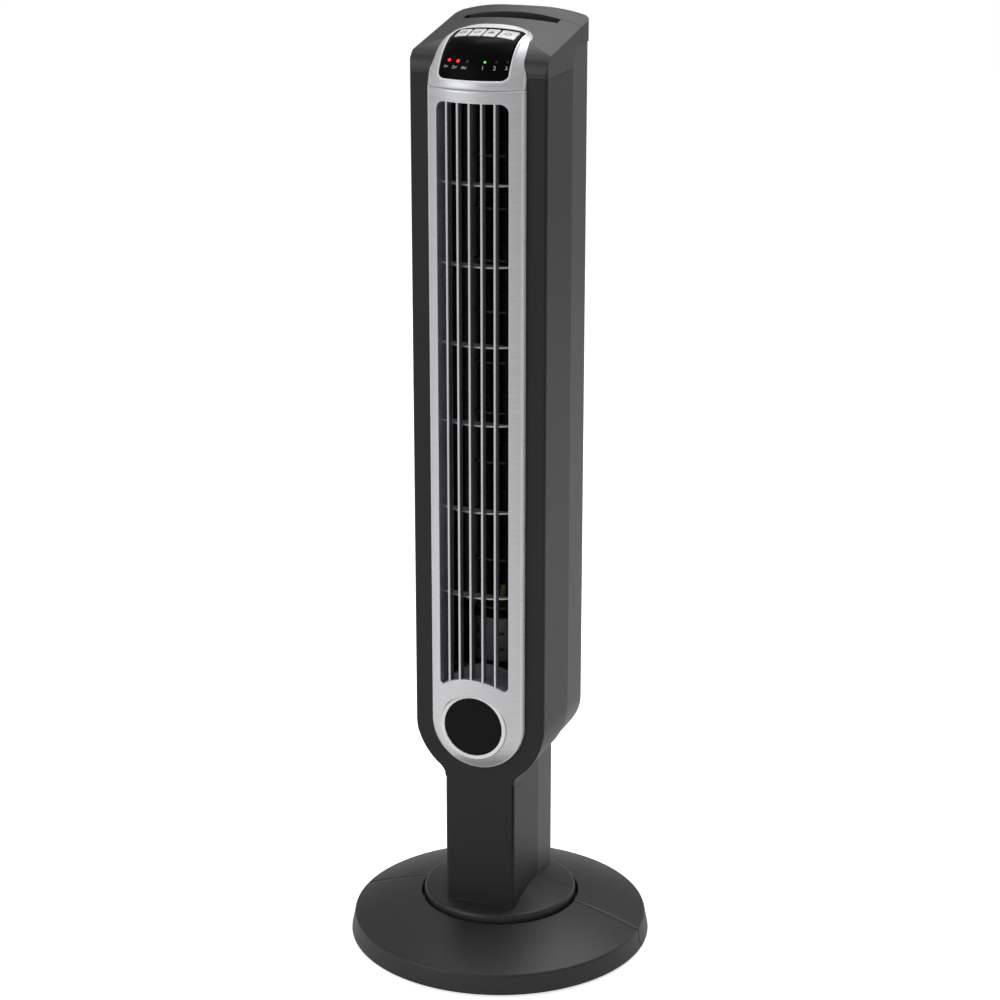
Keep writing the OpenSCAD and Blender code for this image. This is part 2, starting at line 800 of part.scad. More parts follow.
module motor_grommets() color("#202020") motor_spots() tube(1.8, 6, deck_z + deck_t, motor_z);

module motor_screws() color("silver") motor_spots() {
    translate([0, 0, deck_z - 2.2]) cylinder(r = 3.4, h = 2.2);
    translate([0, 0, deck_z - 0.5]) cylinder(r = 1.8, h = deck_t + grommet_t + 8);
}

module fan_motor() color("#5c5e60") translate([0, wheel_y, 0]) difference() {
    translate([0, 0, motor_z]) cylinder(r = motor_r, h = motor_h);
    translate([0, 0, motor_z - 1]) cylinder(r = shaft_r + shaft_gap, h = motor_h + 2);
    around(4, motor_r - motor_spot_in, 45) translate([0, 0, motor_z - 1]) cylinder(r = 1.8, h = 9);
    for (z = [motor_z + 16, motor_z + 32]) around(12, motor_r - 4, 15)
        translate([0, -4, z - 5]) cube([10, 8, 10]);
}

module blower_shaft() color("silver") translate([0, wheel_y, deck_z + deck_t + 2])
    cylinder(r = shaft_r, h = wheel_low + 12 - deck_z - deck_t - 2);

module wheel_hub() color("#d8b868") translate([0, wheel_y, 0]) difference() {
    translate([0, 0, wheel_low - 6]) cylinder(r = hub_r, h = 16);
    translate([0, 0, wheel_low - 7]) cylinder(r = shaft_r, h = 18);
    translate([0, 0, wheel_low - 3.2]) rotate([0, 90, 0]) cylinder(r = 1.8, h = 20);
}

module hub_set_screw() color("#303032") translate([shaft_r, wheel_y, wheel_low - 3.2])
    rotate([0, 90, 0]) cylinder(r = 1.8, h = hub_r - shaft_r);

ring_t = 2;
ring_in = wheel_r - 9;
module blower_wheel() color("#18181a") translate([0, wheel_y, 0]) {
    step = (wheel_high - wheel_low - ring_t) / (ring_count - 1);
    tube(hub_r, wheel_r, wheel_low, wheel_low + ring_t);
    tube(shaft_r, wheel_r, wheel_high - ring_t, wheel_high);
    for (k = [1:ring_count - 2]) tube(ring_in, wheel_r, wheel_low + k * step, wheel_low + k * step + ring_t);
    xy(wheel_low + 0.5, wheel_high - 0.5) for (k = [0:blade_count - 1])
        rotate(360 * k / blade_count) translate([ring_in + 4, 0]) rotate(25)
            intersection() {
                translate([0, -6]) difference() {
                    circle(8.2, $fn = 48);
                    circle(7, $fn = 48);
                }
                translate([-3.6, 0]) square([7.2, 4]);
            }
}

module upper_journal() color("silver") translate([0, wheel_y, wheel_high - ring_t])
    cylinder(r = shaft_r, h = bearing_deck_z + deck_t + bearing_h - wheel_high + ring_t);

module top_bearing() color("#b08d4a") translate([0, wheel_y, 0])
    tube(shaft_r + shaft_gap, 8, bearing_deck_z + deck_t, bearing_deck_z + deck_t + bearing_h);

module bearing_rubber() color("#202020") translate([0, wheel_y, 0])
    tube(8, 14, bearing_deck_z + deck_t, bearing_deck_z + deck_t + bearing_h - 1);

loom_r = 2.5;
module wire_loom() color("#b03028") translate([tower_w / 2 - wall - loom_r, -30, round_z + 10])
    cylinder(r = loom_r, h = cap_seam - round_z - 14);

// ---- top ---------------------------------------------------------------------------------------

handle_y = 36;
recess_arc = 148;

module recess_plan(g) intersection() {
    translate([0, recess_front + recess_arc]) circle(recess_arc + g, $fn = 360);
    translate([-recess_w / 2 - g, 0]) square([recess_w + 2 * g, handle_y]);
}

module top_cap() color("#4c4c50") {
    difference() {
        union() {
            intersection() {
                black_shell();
                slab_y(-far, handle_y, cap_seam, overall_h + 20);
            }
            intersection() {
                black_top(0.5);
                xy(overall_h - 8 - recess_depth - wall, overall_h + 20) recess_plan(wall);
            }
            intersection() {
                black_top(1);
                on_crown() for (p = board_posts)
                    translate([p[0], p[1], board_top]) cylinder(r = 3.2, h = -board_top);
            }
        }
        yz(-far, far) rear_side();
        xy(overall_h - 8 - recess_depth, overall_h + 20) recess_plan(0);
        on_crown() translate([-pad_half, -51, board_top + 0.5]) cube([2 * pad_half, 31, 20]);
        on_crown() for (p = board_posts) translate([p[0], p[1], board_top - 1]) cylinder(r = 1.3, h = 5.8);
    }
}

module carry_handle() color("#4c4c50") {
    intersection() {
        black_shell();
        slab_y(handle_y, far, rear_seam, overall_h + 20);
    }
    intersection() {
        black_top(0.5);
        translate([-tower_w / 2, handle_y, rear_seam]) cube([tower_w, wall, 60]);
    }
}

module control_bezel() color("#d4d6d8") difference() {
    bezel_form(0);
    bezel_form(bezel_skin);
    black_top(0);
    difference() {
        window_prism(trim_gap);
        bezel_form(window_sink + window_t);
    }
    window_prism(-2.2);
}

module display_window() color("#0c0c0e") difference() {
    intersection() {
        bezel_form(window_sink);
        window_prism(0);
    }
    bezel_form(window_sink + window_t);
    for (k = [0:3]) key_prism(k, run_gap + 0.05, -3, 12);
}

module display_board() color("#2f6b3a") translate([-30, -tower_front - 1.6, cap_seam - 6])
    cube([60, 1.6, 11]);

module lamp_row(xs) for (x = xs) translate([x, 0, lamp_z - 4]) rod_y(1.5, -tower_front - 9, -tower_front - 1.6);

module timer_lamps() color("#d01818") lamp_row(timer_x);

module speed_lamps() color("#40b030") lamp_row(speed_x);

module ir_receiver() color("#3a1a22") translate([-4.5, -tower_front - 6.6, cap_seam - 4]) cube([5, 5, 6]);

module control_board() color("#2f6b3a") difference() {
    on_crown() translate([-37, board_front, board_top - board_t]) cube([74, board_back - board_front, board_t]);
    on_crown() for (p = board_posts) translate([p[0], p[1], board_top - board_t - 1]) cylinder(r = 1.6, h = 4);
}

function key_x(k) = (key_edges[k][0] + key_edges[k][1]) / 2;
key_y = (key_front + key_back) / 2;

module key_switches() color("#202020") on_crown() for (k = [0:3]) translate([key_x(k), key_y, board_top]) {
    translate([-3, -3, 0]) cube([6, 6, 3.4]);
    cylinder(r = 1.7, h = 4.1);
}

module board_screws() color("silver") on_crown() for (p = board_posts)
    translate([p[0], p[1], board_top - board_t]) {
        translate([0, 0, -1.8]) cylinder(r = 2.6, h = 1.8);
        translate([0, 0, -0.5]) cylinder(r = 1.3, h = 6);
    }

module key(k) color("#e8e9eb") {
    intersection() {
        key_prism(k, 0, -1.2, 12);
        bezel_form(-0.2);
    }
    intersection() {
        on_crown() translate([key_edges[k][0], key_front - key_ledge, -2.4])
            cube([key_edges[k][1] - key_edges[k][0], key_back - key_front + 2 * key_ledge, 6]);
        bezel_form(window_sink + window_t + run_gap);
    }
    on_crown() translate([key_x(k), key_y, board_top + 4.1 + key_travel + 0.3])
        cylinder(r = 2, h = -1 - board_top - 4.1 - key_travel - 0.3);
}

module timer_key() key(0);
module swing_key() key(1);
module speed_key() key(2);
module power_key() key(3);

base_front();
base_rear();
rubber_feet();
base_screws();
bearing_plate();
plate_screws();
pivot_bush();
thrust_washer();
swing_fork();
front_housing();
rear_housing();
housing_screws();
swivel_plate();
swivel_screws();
spindle_washer();
spindle_screw();
swing_motor();
swing_motor_screws();
swing_shaft();
crank();
cord_grommet();
capacitor();
front_panel();
outlet_duct();
badge_ring();
badge_plate();
air_guide();
motor_deck();
fan_motor();
motor_grommets();
motor_screws();
blower_shaft();
wheel_hub();
hub_set_screw();
blower_wheel();
upper_journal();
bearing_deck();
top_bearing();
bearing_rubber();
wire_loom();
top_cap();
carry_handle();
control_bezel();
display_window();
display_board();
timer_lamps();
speed_lamps();
ir_receiver();
control_board();
key_switches();
board_screws();
timer_key();
swing_key();
speed_key();
power_key();
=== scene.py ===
"""Looks of the tower fan: its finishes, its shaped visible mouldings, the studio and the camera."""

import json
import math

import bmesh
import bpy
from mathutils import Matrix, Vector
from mathutils.kdtree import KDTree


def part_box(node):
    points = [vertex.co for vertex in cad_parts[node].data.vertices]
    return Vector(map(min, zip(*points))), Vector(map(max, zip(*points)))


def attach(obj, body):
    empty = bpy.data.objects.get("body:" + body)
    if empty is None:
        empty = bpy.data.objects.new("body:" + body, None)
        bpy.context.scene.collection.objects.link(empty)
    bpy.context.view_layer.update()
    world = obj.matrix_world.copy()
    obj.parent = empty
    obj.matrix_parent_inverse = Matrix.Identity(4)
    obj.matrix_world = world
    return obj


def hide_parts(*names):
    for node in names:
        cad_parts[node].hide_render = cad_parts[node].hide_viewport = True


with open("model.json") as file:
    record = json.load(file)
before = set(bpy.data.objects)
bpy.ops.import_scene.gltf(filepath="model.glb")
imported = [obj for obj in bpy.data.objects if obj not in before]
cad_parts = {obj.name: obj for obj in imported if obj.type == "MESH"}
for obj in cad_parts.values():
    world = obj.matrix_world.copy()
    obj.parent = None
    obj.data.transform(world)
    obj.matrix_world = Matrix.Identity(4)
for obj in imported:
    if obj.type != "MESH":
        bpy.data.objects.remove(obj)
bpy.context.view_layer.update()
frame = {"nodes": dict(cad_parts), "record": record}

MM = 0.001
SLOT_OF = {s["node"]: s["material_slot"] for s in frame["record"]["subparts"]}
BODY_OF = {n: b for b, ns in frame["record"]["behaviour"]["bodies"].items() for n in ns}


def box_mm(node):
    """Lowest and highest corner of a CAD node, in millimetres."""
    low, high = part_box(node)
    return Vector(low) / MM, Vector(high) / MM


# ---- finishes ----------------------------------------------------------------------------------


def new_material(name, colour, roughness, metallic=0.0):
    """A Principled material with its constant values set on the shader's own sockets."""
    material = bpy.data.materials.new(name)
    material.use_nodes = True
    shader = material.node_tree.nodes["Principled BSDF"]
    shader.inputs["Base Color"].default_value = (*colour, 1)
    shader.inputs["Roughness"].default_value = roughness
    shader.inputs["Metallic"].default_value = metallic
    return material, material.node_tree, shader


def add_node(tree, kind, inputs=None, **settings):
    """A node with its settings; each named input gets a value or a link from a socket."""
    node = tree.nodes.new(kind)
    for key, value in settings.items():
        setattr(node, key, value)
    for key, value in (inputs or {}).items():
        if isinstance(value, bpy.types.NodeSocket):
            tree.links.new(value, node.inputs[key])
        else:
            node.inputs[key].default_value = value
    return node


def object_noise(tree, scale, detail=3.0, stretch=(1, 1, 1), roughness=0.55):
    """Noise on the piece's own coordinates in metres, stretched along an axis."""
    place = add_node(tree, "ShaderNodeTexCoord")
    mapping = add_node(tree, "ShaderNodeMapping", {"Scale": stretch, "Vector": place.outputs["Object"]})
    noise = add_node(tree, "ShaderNodeTexNoise", {
        "Scale": scale, "Detail": detail, "Roughness": roughness, "Vector": mapping.outputs["Vector"]})
    return noise.outputs["Fac"]


def ramp(tree, source, low, high, start=0.3, end=0.7):
    """Blend between two colours by a factor."""
    node = add_node(tree, "ShaderNodeValToRGB", {"Fac": source})
    for stop, place, colour in zip(node.color_ramp.elements, (start, end), (low, high)):
        stop.position = place
        stop.color = (*colour, 1)
    return node.outputs["Color"]


def vary(tree, shader, socket, source, low, high, start=0.3, end=0.7):
    """Drive one of the shader's inputs by a factor, between two colours or two greys."""
    tree.links.new(ramp(tree, source, low, high, start, end), shader.inputs[socket])


def add_bump(tree, shader, height, strength, distance):
    """Relief on the surface, its distance in metres."""
    bump = add_node(tree, "ShaderNodeBump", {"Strength": strength, "Distance": distance, "Height": height})
    tree.links.new(bump.outputs["Normal"], shader.inputs["Normal"])


def grey(value):
    """A plain value as a colour."""
    return (value, value, value)


def times(colour, factor):
    """A colour made darker or lighter."""
    return [min(c * factor, 1.0) for c in colour]


def moulded_plastic(name, colour, roughness, grain=0.35, grain_size=1400, specular=0.5):
    """Spark-grained moulding: fine pits, slow cloudy change of colour and gloss."""
    material, tree, shader = new_material(name, colour, roughness)
    shader.inputs["Specular IOR Level"].default_value = specular
    cloud = object_noise(tree, 14, 4)
    vary(tree, shader, "Base Color", cloud, times(colour, 0.88), times(colour, 1.12))
    pits = object_noise(tree, grain_size, 2, roughness=0.7)
    vary(tree, shader, "Roughness", pits, grey(roughness - 0.06), grey(roughness + 0.07), 0.25, 0.75)
    add_bump(tree, shader, pits, grain, 0.00012)
    return material


def brushed_silver(name, colour, roughness, lines_along, bump=0.25, metallic=0.8):
    """Metallic paint with long fine brush lines; lines_along squeezes the noise on two axes."""
    material, tree, shader = new_material(name, colour, roughness, metallic)
    lines = object_noise(tree, 45, 5, lines_along, 0.75)
    vary(tree, shader, "Base Color", lines, times(colour, 0.95), times(colour, 1.04), 0.35, 0.65)
    vary(tree, shader, "Roughness", lines, grey(roughness - 0.05), grey(roughness + 0.08))
    add_bump(tree, shader, lines, bump, 0.0001)
    return material


def gloss(name, colour, roughness, coat, specular=0.5):
    """Polished moulding with faint smears in its gloss."""
    material, tree, shader = new_material(name, colour, roughness)
    shader.inputs["Coat Weight"].default_value = coat
    shader.inputs["Specular IOR Level"].default_value = specular
    shader.inputs["Coat Roughness"].default_value = 0.05
    smears = object_noise(tree, 30, 3)
    vary(tree, shader, "Roughness", smears, grey(roughness), grey(roughness + 0.05))
    vary(tree, shader, "Base Color", smears, times(colour, 0.9), times(colour, 1.1))
    return material


def metal(name, colour, roughness, scale=400, bump=0.15):
    """Plain metal with a fine drawn or plated texture."""
    material, tree, shader = new_material(name, colour, roughness, 1.0)
    grain = object_noise(tree, scale, 3)
    vary(tree, shader, "Base Color", grain, times(colour, 0.85), colour)
    vary(tree, shader, "Roughness", grain, grey(roughness - 0.06), grey(roughness + 0.08))
    add_bump(tree, shader, grain, bump, 0.00005)
    return material


def lamp(name, colour, strength):
    """A lamp lens; strength 0 is an unlit one."""
    material, tree, shader = new_material(name, colour, 0.25)
    shader.inputs["Emission Color"].default_value = (*colour, 1)
    shader.inputs["Emission Strength"].default_value = strength
    cloud = object_noise(tree, 900, 2)
    vary(tree, shader, "Base Color", cloud, times(colour, 0.8), colour)
    return material


BASE_PLASTIC = moulded_plastic("base_charcoal", (0.024, 0.024, 0.0255), 0.42)
FRONT_PLASTIC = moulded_plastic("front_black", (0.013, 0.013, 0.0135), 0.42, specular=0.35)
REAR_PLASTIC = moulded_plastic("rear_black", (0.047, 0.044, 0.047), 0.40)
FOOT_PLASTIC = moulded_plastic("foot_charcoal", (0.021, 0.021, 0.022), 0.42)
CAP_PLASTIC = moulded_plastic("cap_charcoal", (0.022, 0.022, 0.0235), 0.42)
# Black of the inner mouldings, also painted on the hand recess as shade.
INNER_BLACK_AND_RECESS_SHADE = moulded_plastic("inner_black_and_recess_shade", (0.006, 0.006, 0.0065), 0.5, 0.2)
SILVER = brushed_silver("silver_paint", (0.76, 0.765, 0.785), 0.34, (0.5, 0.5, 13), 0.07, 0.6)
# A darker copy of the silver: painted shade for the sides and backs of the outlet bars.
BAR_SIDE_SHADE = brushed_silver("bar_side_shade", (0.20, 0.205, 0.215), 0.42, (1, 1, 0.1), 0.04, 0.6)
BEZEL_SILVER = brushed_silver("bezel_silver", (0.74, 0.75, 0.77), 0.36, (0.25, 6, 6), 0.03, 0.45)
# A darker copy of the silver for the duct walls: painted shade inside the air path.
DUCT_SILVER_SHADED = brushed_silver("duct_silver_shaded", (0.62, 0.63, 0.66), 0.38, (1, 1, 6), 0.08, 0.6)
# Bright trim of the badge's rim, also painted on the panel's and bezel's edges as highlights.
TRIM_AND_HIGHLIGHT = brushed_silver("bright_trim", (0.96, 0.96, 0.965), 0.30, (1, 1, 1), 0.03, 0.15)
GLOSS_BLACK = gloss("gloss_black", (0.0045, 0.0045, 0.005), 0.22, 0.0, 0.02)
BADGE_BLACK = gloss("badge_black", (0.005, 0.005, 0.0055), 0.25, 0.0, 0.12)
KEY_WHITE = gloss("key_white", (0.74, 0.74, 0.76), 0.28, 0.3)
RUBBER = moulded_plastic("rubber", (0.010, 0.010, 0.010), 0.75, 0.5, 700)
NYLON = moulded_plastic("nylon", (0.70, 0.67, 0.58), 0.5, 0.1)
ZINC = metal("zinc", (0.62, 0.62, 0.63), 0.30)
STEEL = metal("plated_steel", (0.52, 0.52, 0.53), 0.35)
MOTOR_STEEL = metal("motor_steel", (0.10, 0.10, 0.105), 0.45)
BRONZE = metal("bronze", (0.62, 0.44, 0.20), 0.35)
WIRE = moulded_plastic("wire_sleeve", (0.30, 0.03, 0.02), 0.45, 0.1)
BOARD = moulded_plastic("board_green", (0.02, 0.13, 0.05), 0.35, 0.1)
LAMP_RED = lamp("lamp_red", (1.0, 0.012, 0.01), 3.0)
LAMP_GREEN = lamp("lamp_green", (0.10, 0.70, 0.04), 1.2)
LAMP_OFF = lamp("lamp_unlit", (0.010, 0.008, 0.008), 0.0)
INK_PALE = gloss("ink_pale", (0.50, 0.56, 0.66), 0.4, 0.0)
INK_DARK = gloss("ink_dark", (0.008, 0.008, 0.009), 0.4, 0.0)

FINISH = {
    "base_plastic": BASE_PLASTIC, "front_plastic": FRONT_PLASTIC, "rear_plastic": REAR_PLASTIC,
    "cap_plastic": CAP_PLASTIC, "inner_plastic": INNER_BLACK_AND_RECESS_SHADE, "silver_paint": SILVER,
    "bright_trim": TRIM_AND_HIGHLIGHT, "gloss_black": GLOSS_BLACK, "key_white": KEY_WHITE, "rubber": RUBBER,
    "nylon": NYLON, "screw_steel": ZINC, "plated_steel": STEEL, "motor_steel": MOTOR_STEEL,
    "brass": BRONZE, "wire_red": WIRE, "board_green": BOARD, "lamp_red": LAMP_RED,
    "lamp_green": LAMP_GREEN,
}


def paint(obj, material):
    """One material over the whole piece."""
    obj.data.materials.clear()
    obj.data.materials.append(material)
    for face in obj.data.polygons:
        face.material_index = 0


for node_name, node_object in frame["nodes"].items():
    paint(node_object, FINISH[SLOT_OF[node_name]])
# Painted shade: the duct walls take the darker copy of the silver.
paint(frame["nodes"]["outlet_duct"], DUCT_SILVER_SHADED)

# ---- making and placing pieces -----------------------------------------------------------------


def link_object(name, data):
    """A new object in the scene."""
    obj = bpy.data.objects.new(name, data)
    bpy.context.scene.collection.objects.link(obj)
    return obj


def shade(mesh, sharp):
    """Smooth shading with edges sharper than an angle in degrees kept crisp."""
    mesh.shade_smooth()
    mesh.set_sharp_from_angle(angle=math.radians(sharp))
    return mesh


def take_mesh(obj, name):
    """A plain mesh of the object with its modifiers worked in; the object is thrown away."""
    depsgraph = bpy.context.evaluated_depsgraph_get()
    mesh = bpy.data.meshes.new_from_object(obj.evaluated_get(depsgraph), depsgraph=depsgraph)
    mesh.name = name
    obj.modifiers.clear()
    bpy.data.objects.remove(obj)
    return mesh


def add_piece(name, mesh, material, stands_for=(), body="tower", slot=None):
    """A finished mesh on its body, with its finish, in place of the CAD nodes named."""
    obj = link_object(name, mesh)
    if material:
        paint(obj, material)
    if stands_for:
        body = BODY_OF[stands_for[0]]
        slot = slot or SLOT_OF[stands_for[0]]
        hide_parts(*stands_for)
    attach(obj, body)
    return obj


def paint_highlight(obj, chosen):
    """Painted highlight: the bright trim finish on the faces whose middle, in millimetres, is chosen."""
    obj.data.materials.append(TRIM_AND_HIGHLIGHT)
    for face in obj.data.polygons:
        if chosen(face.center / MM):
            face.material_index = len(obj.data.materials) - 1


def close_mesh(name, work, sharp=35):
    """The bmesh, drawn in millimetres, as a welded mesh in metres with outward normals."""
    bmesh.ops.remove_doubles(work, verts=work.verts, dist=0.0005)
    bmesh.ops.recalc_face_normals(work, faces=work.faces)
    bmesh.ops.scale(work, vec=(MM, MM, MM), verts=work.verts)
    mesh = bpy.data.meshes.new(name)
    work.to_mesh(mesh)
    work.free()
    return shade(mesh, sharp)


def add_solid(work, loops, closed_through=False):
    """Quads between neighbouring loops of equal length; the ends are filled unless it closes on itself."""
    rows = [[work.verts.new(p) for p in loop] for loop in loops]
    pairs = list(zip(rows, rows[1:]))
    if closed_through:
        pairs.append((rows[-1], rows[0]))
    count = len(rows[0])
    for a, b in pairs:
        for i in range(count):
            j = (i + 1) % count
            work.faces.new((a[i], a[j], b[j], b[i]))
    if not closed_through:
        work.faces.new(rows[0])
        work.faces.new(rows[-1])


def solid_mesh(name, loops, sharp=35, closed_through=False):
    """A finished mesh of one solid through its loops."""
    work = bmesh.new()
    add_solid(work, loops, closed_through)
    return close_mesh(name, work, sharp)


def line(a, b, count):
    """Evenly spaced points from a up to, not reaching, b."""
    return [Vector(a).lerp(Vector(b), i / count) for i in range(count)]


def arc(centre, radius, start, end, count):
    """Points on an arc from start up to, not reaching, end, in degrees."""
    points = []
    for i in range(count):
        turn = math.radians(start + (end - start) * i / count)
        points.append(Vector((centre[0] + radius * math.cos(turn), centre[1] + radius * math.sin(turn))))
    return points


def turns(steps):
    """Angles of a full turn in equal steps."""
    return [2 * math.pi * i / steps for i in range(steps)]


def turned_y(profile, centre_z, steps=96):
    """Loops of a profile of (radius, y) pairs turned round an axis along Y."""
    return [[(r * math.cos(t), y, centre_z + r * math.sin(t)) for t in turns(steps)] for r, y in profile]


def turned_z(profile, steps, x=0.0, y=0.0):
    """Loops of a profile of (radius, z) pairs turned round an upright axis."""
    return [[(x + r * math.cos(t), y + r * math.sin(t), z) for t in turns(steps)] for r, z in profile]


def drawn_in(profile, by):
    """A closed profile with every point moved inwards, for the eased edge at a seam."""
    count = len(profile)
    moved = []
    for i, p in enumerate(profile):
        along = (profile[(i + 1) % count] - profile[i - 1]).normalized()
        moved.append(p + Vector((along.y, -along.x)) * by)
    return moved


def rounding(radius, steps=4):
    """Pairs (in from the edge, down from the face) round a quarter circle, side first."""
    angles = [math.radians(90 * k / steps) for k in range(steps + 1)]
    return [(radius * (1 - math.cos(t)), radius * (1 - math.sin(t))) for t in angles]


def turned_surface(axis, centre, radius):
    """A cylinder along an axis; gives a point's distance from it and its outward normal."""
    axis = Vector(axis).normalized()
    centre = Vector(centre)

    def measure(point):
        out = point - centre
        out -= axis * out.dot(axis)
        return out.length - radius, out.normalized()

    return measure


FLAT_WALL, NEAR_ROLL, SAME_WAY = 0.99995, 0.1, 0.94


def set_true_normals(mesh):
    """Exact shading normals on the rolled surfaces, flat ones on the plain walls."""
    corner_normals = [n.vector.copy() for n in mesh.corner_normals]
    points = [v.co / MM for v in mesh.vertices]
    for face in mesh.polygons:
        normal = face.normal
        if max(abs(c) for c in normal) > FLAT_WALL:
            for corner in face.loop_indices:
                corner_normals[corner] = normal.copy()
            continue
        for measure in ROLLED_SURFACES:
            found = [measure(points[v]) for v in face.vertices]
            if all(abs(gap) < NEAR_ROLL and abs(n.dot(normal)) > SAME_WAY for gap, n in found):
                for corner, (_, exact) in zip(face.loop_indices, found):
                    corner_normals[corner] = exact if exact.dot(normal) > 0 else -exact
                break
    mesh.normals_split_custom_set(corner_normals)


def softened(node, seams, width_mm=0.45, sharp=30):
    """The CAD moulding as one welded skin, its edges along the seam planes (axis, value) eased."""
    work = bmesh.new()
    work.from_mesh(frame["nodes"][node].data)
    bmesh.ops.remove_doubles(work, verts=work.verts, dist=0.00001)
    bmesh.ops.dissolve_limit(work, angle_limit=math.radians(0.5), verts=work.verts, edges=work.edges)
    mesh = bpy.data.meshes.new(node + "_moulding")
    work.to_mesh(mesh)
    weights = [0.0] * len(mesh.edges)
    for edge in work.edges:
        if len(edge.link_faces) != 2 or edge.calc_face_angle(0) < math.radians(sharp):
            continue
        for axis, value in seams:
            if all(abs(v.co[axis] / MM - value) < 0.05 for v in edge.verts):
                weights[edge.index] = 1.0
    work.free()
    mesh.attributes.new("bevel_weight_edge", "FLOAT", "EDGE").data.foreach_set("value", weights)
    blank = link_object(node + "_blank", shade(mesh, sharp))
    bevel = blank.modifiers.new("edge_round", "BEVEL")
    bevel.width = width_mm * MM
    bevel.segments = 2
    bevel.limit_method = "WEIGHT"
    bevel.use_clamp_overlap = False
    eased = take_mesh(blank, node + "_moulding")
    set_true_normals(eased)
    obj = add_piece(node + "_moulding", eased, FINISH[SLOT_OF[node]], (node,))
    # Painted shade: faces inside the hand recess get the inner black.
    obj.data.materials.append(INNER_BLACK_AND_RECESS_SHADE)
    for face in obj.data.polygons:
        face.material_index = int(gets_recess_shade(face.center / MM))


# ---- front panel -------------------------------------------------------------------------------

PANEL_LOW, PANEL_HIGH = box_mm("front_panel")
PANEL_HALF = PANEL_HIGH.x
PANEL_TOP = PANEL_HIGH.z
PANEL_FRONT = PANEL_LOW.y
BADGE_Z = PANEL_LOW.z + PANEL_HALF
PANEL_BOW = 70.0
OUTLET_HALF = 34.5
OUTLET_TOP = PANEL_TOP - 11.5
OUTLET_CORNER = 8.0
ARCH = 50.5
OUTLET_FOOT_ROUND = 3.0
BADGE_HOLE = box_mm("badge_ring")[1].x + 0.45
CASING_FRONT = box_mm("top_cap")[0].y


def panel_y(x, z):
    """Depth of the bowed face; below the badge's height it closes in a ball."""
    drop = x * x + min(z - BADGE_Z, 0) ** 2
    return PANEL_FRONT + PANEL_BOW - math.sqrt(PANEL_BOW * PANEL_BOW - drop)


def panel_edge(inset):
    """Outline of the panel from its top left corner, down, round and back."""
    half = PANEL_HALF - inset
    top = PANEL_TOP - inset
    points = line((-half, top), (-half, BADGE_Z), 60)
    points += arc((0, BADGE_Z), half, 180, 360, 72)
    points += line((half, BADGE_Z), (half, top), 60)
    return points + line((half, top), (-half, top), 48)


def outlet_edge(grow):
    """Outline of the air opening, point for point with the panel's own outline."""
    half = OUTLET_HALF + grow
    top = OUTLET_TOP + grow
    radius = OUTLET_CORNER + grow
    arch = ARCH - grow
    turn_r = OUTLET_FOOT_ROUND + grow
    side = half - turn_r
    rise = math.sqrt((arch + turn_r) ** 2 - side * side)
    lean = math.degrees(math.atan2(rise, side))
    points = line((-half, top - radius), (-half, BADGE_Z + rise), 52)
    points += arc((-side, BADGE_Z + rise), turn_r, 180, 360 - lean, 8)
    points += arc((0, BADGE_Z), arch, 180 - lean, lean, 72)
    points += arc((side, BADGE_Z + rise), turn_r, 180 + lean, 360, 8)
    points += line((half, BADGE_Z + rise), (half, top - radius), 52)
    points += arc((half - radius, top - radius), radius, 0, 90, 12)
    points += line((half - radius, top), (-half + radius, top), 24)
    return points + arc((-half + radius, top - radius), radius, 90, 180, 12)


def front_panel():
    """Bowed silver panel with rolled outer edge, rounded opening and a hole for the badge."""
    outer_round, inner_round, skin, highlight_edge = 1.7, 0.8, 2.2, 2.1
    on_face = lambda points, down: [(p.x, panel_y(p.x, p.y) + down, p.y) for p in points]
    loops = [[(p.x, CASING_FRONT + 0.6, p.y) for p in panel_edge(0)]]
    loops += [on_face(panel_edge(into), down) for into, down in rounding(outer_round, 5)]
    outer = panel_edge(outer_round)
    inner = outlet_edge(inner_round)
    for k in range(1, 24):
        loops.append(on_face([a.lerp(b, k / 24) for a, b in zip(outer, inner)], 0))
    for into, down in reversed(rounding(inner_round, 3)):
        loops.append(on_face(outlet_edge(into), down))
    loops.append(on_face(outlet_edge(0), skin))
    loops.append(on_face([a.lerp(b, 0.2) for a, b in zip(inner, outer)], skin))
    solid = link_object("panel_blank", solid_mesh("panel_blank", loops, 50, closed_through=True))
    bore = turned_y([(BADGE_HOLE, -95), (BADGE_HOLE, -50)], BADGE_Z, 96)
    punch = link_object("badge_punch", solid_mesh("badge_punch", bore))
    cut = solid.modifiers.new("badge_hole", "BOOLEAN")
    cut.object = punch
    cut.operation = "DIFFERENCE"
    cut.solver = "EXACT"
    mesh = shade(take_mesh(solid, "front_panel_skin"), 50)
    bpy.data.objects.remove(punch)
    piece = add_piece("front_panel_skin", mesh, SILVER, ("front_panel",))
    level = piece.modifiers.new("even_shading", "WEIGHTED_NORMAL")
    level.keep_sharp = True
    # Painted highlight: bright trim on a strip along the rolled outer edge.
    paint_highlight(piece, lambda p: math.hypot(p.x, min(p.z - BADGE_Z, 0)) > PANEL_HALF - highlight_edge)


front_panel()

# ---- repeated pieces made with geometry nodes --------------------------------------------------


def new_tree(name, *sizes):
    """A geometry tree with named size inputs; returns the tree and its input and output nodes."""
    tree = bpy.data.node_groups.new(name, "GeometryNodeTree")
    tree.interface.new_socket("Geometry", in_out="INPUT", socket_type="NodeSocketGeometry")
    for label, kind, value in sizes:
        socket = tree.interface.new_socket(label, in_out="INPUT", socket_type=kind)
        if value is not None:
            socket.default_value = value
    tree.interface.new_socket("Geometry", in_out="OUTPUT", socket_type="NodeSocketGeometry")
    return tree, tree.nodes.new("NodeGroupInput"), tree.nodes.new("NodeGroupOutput")


def flow(tree, kind, inputs=None, **settings):
    """A geometry node's first output."""
    return add_node(tree, "GeometryNode" + kind, inputs, **settings).outputs[0]


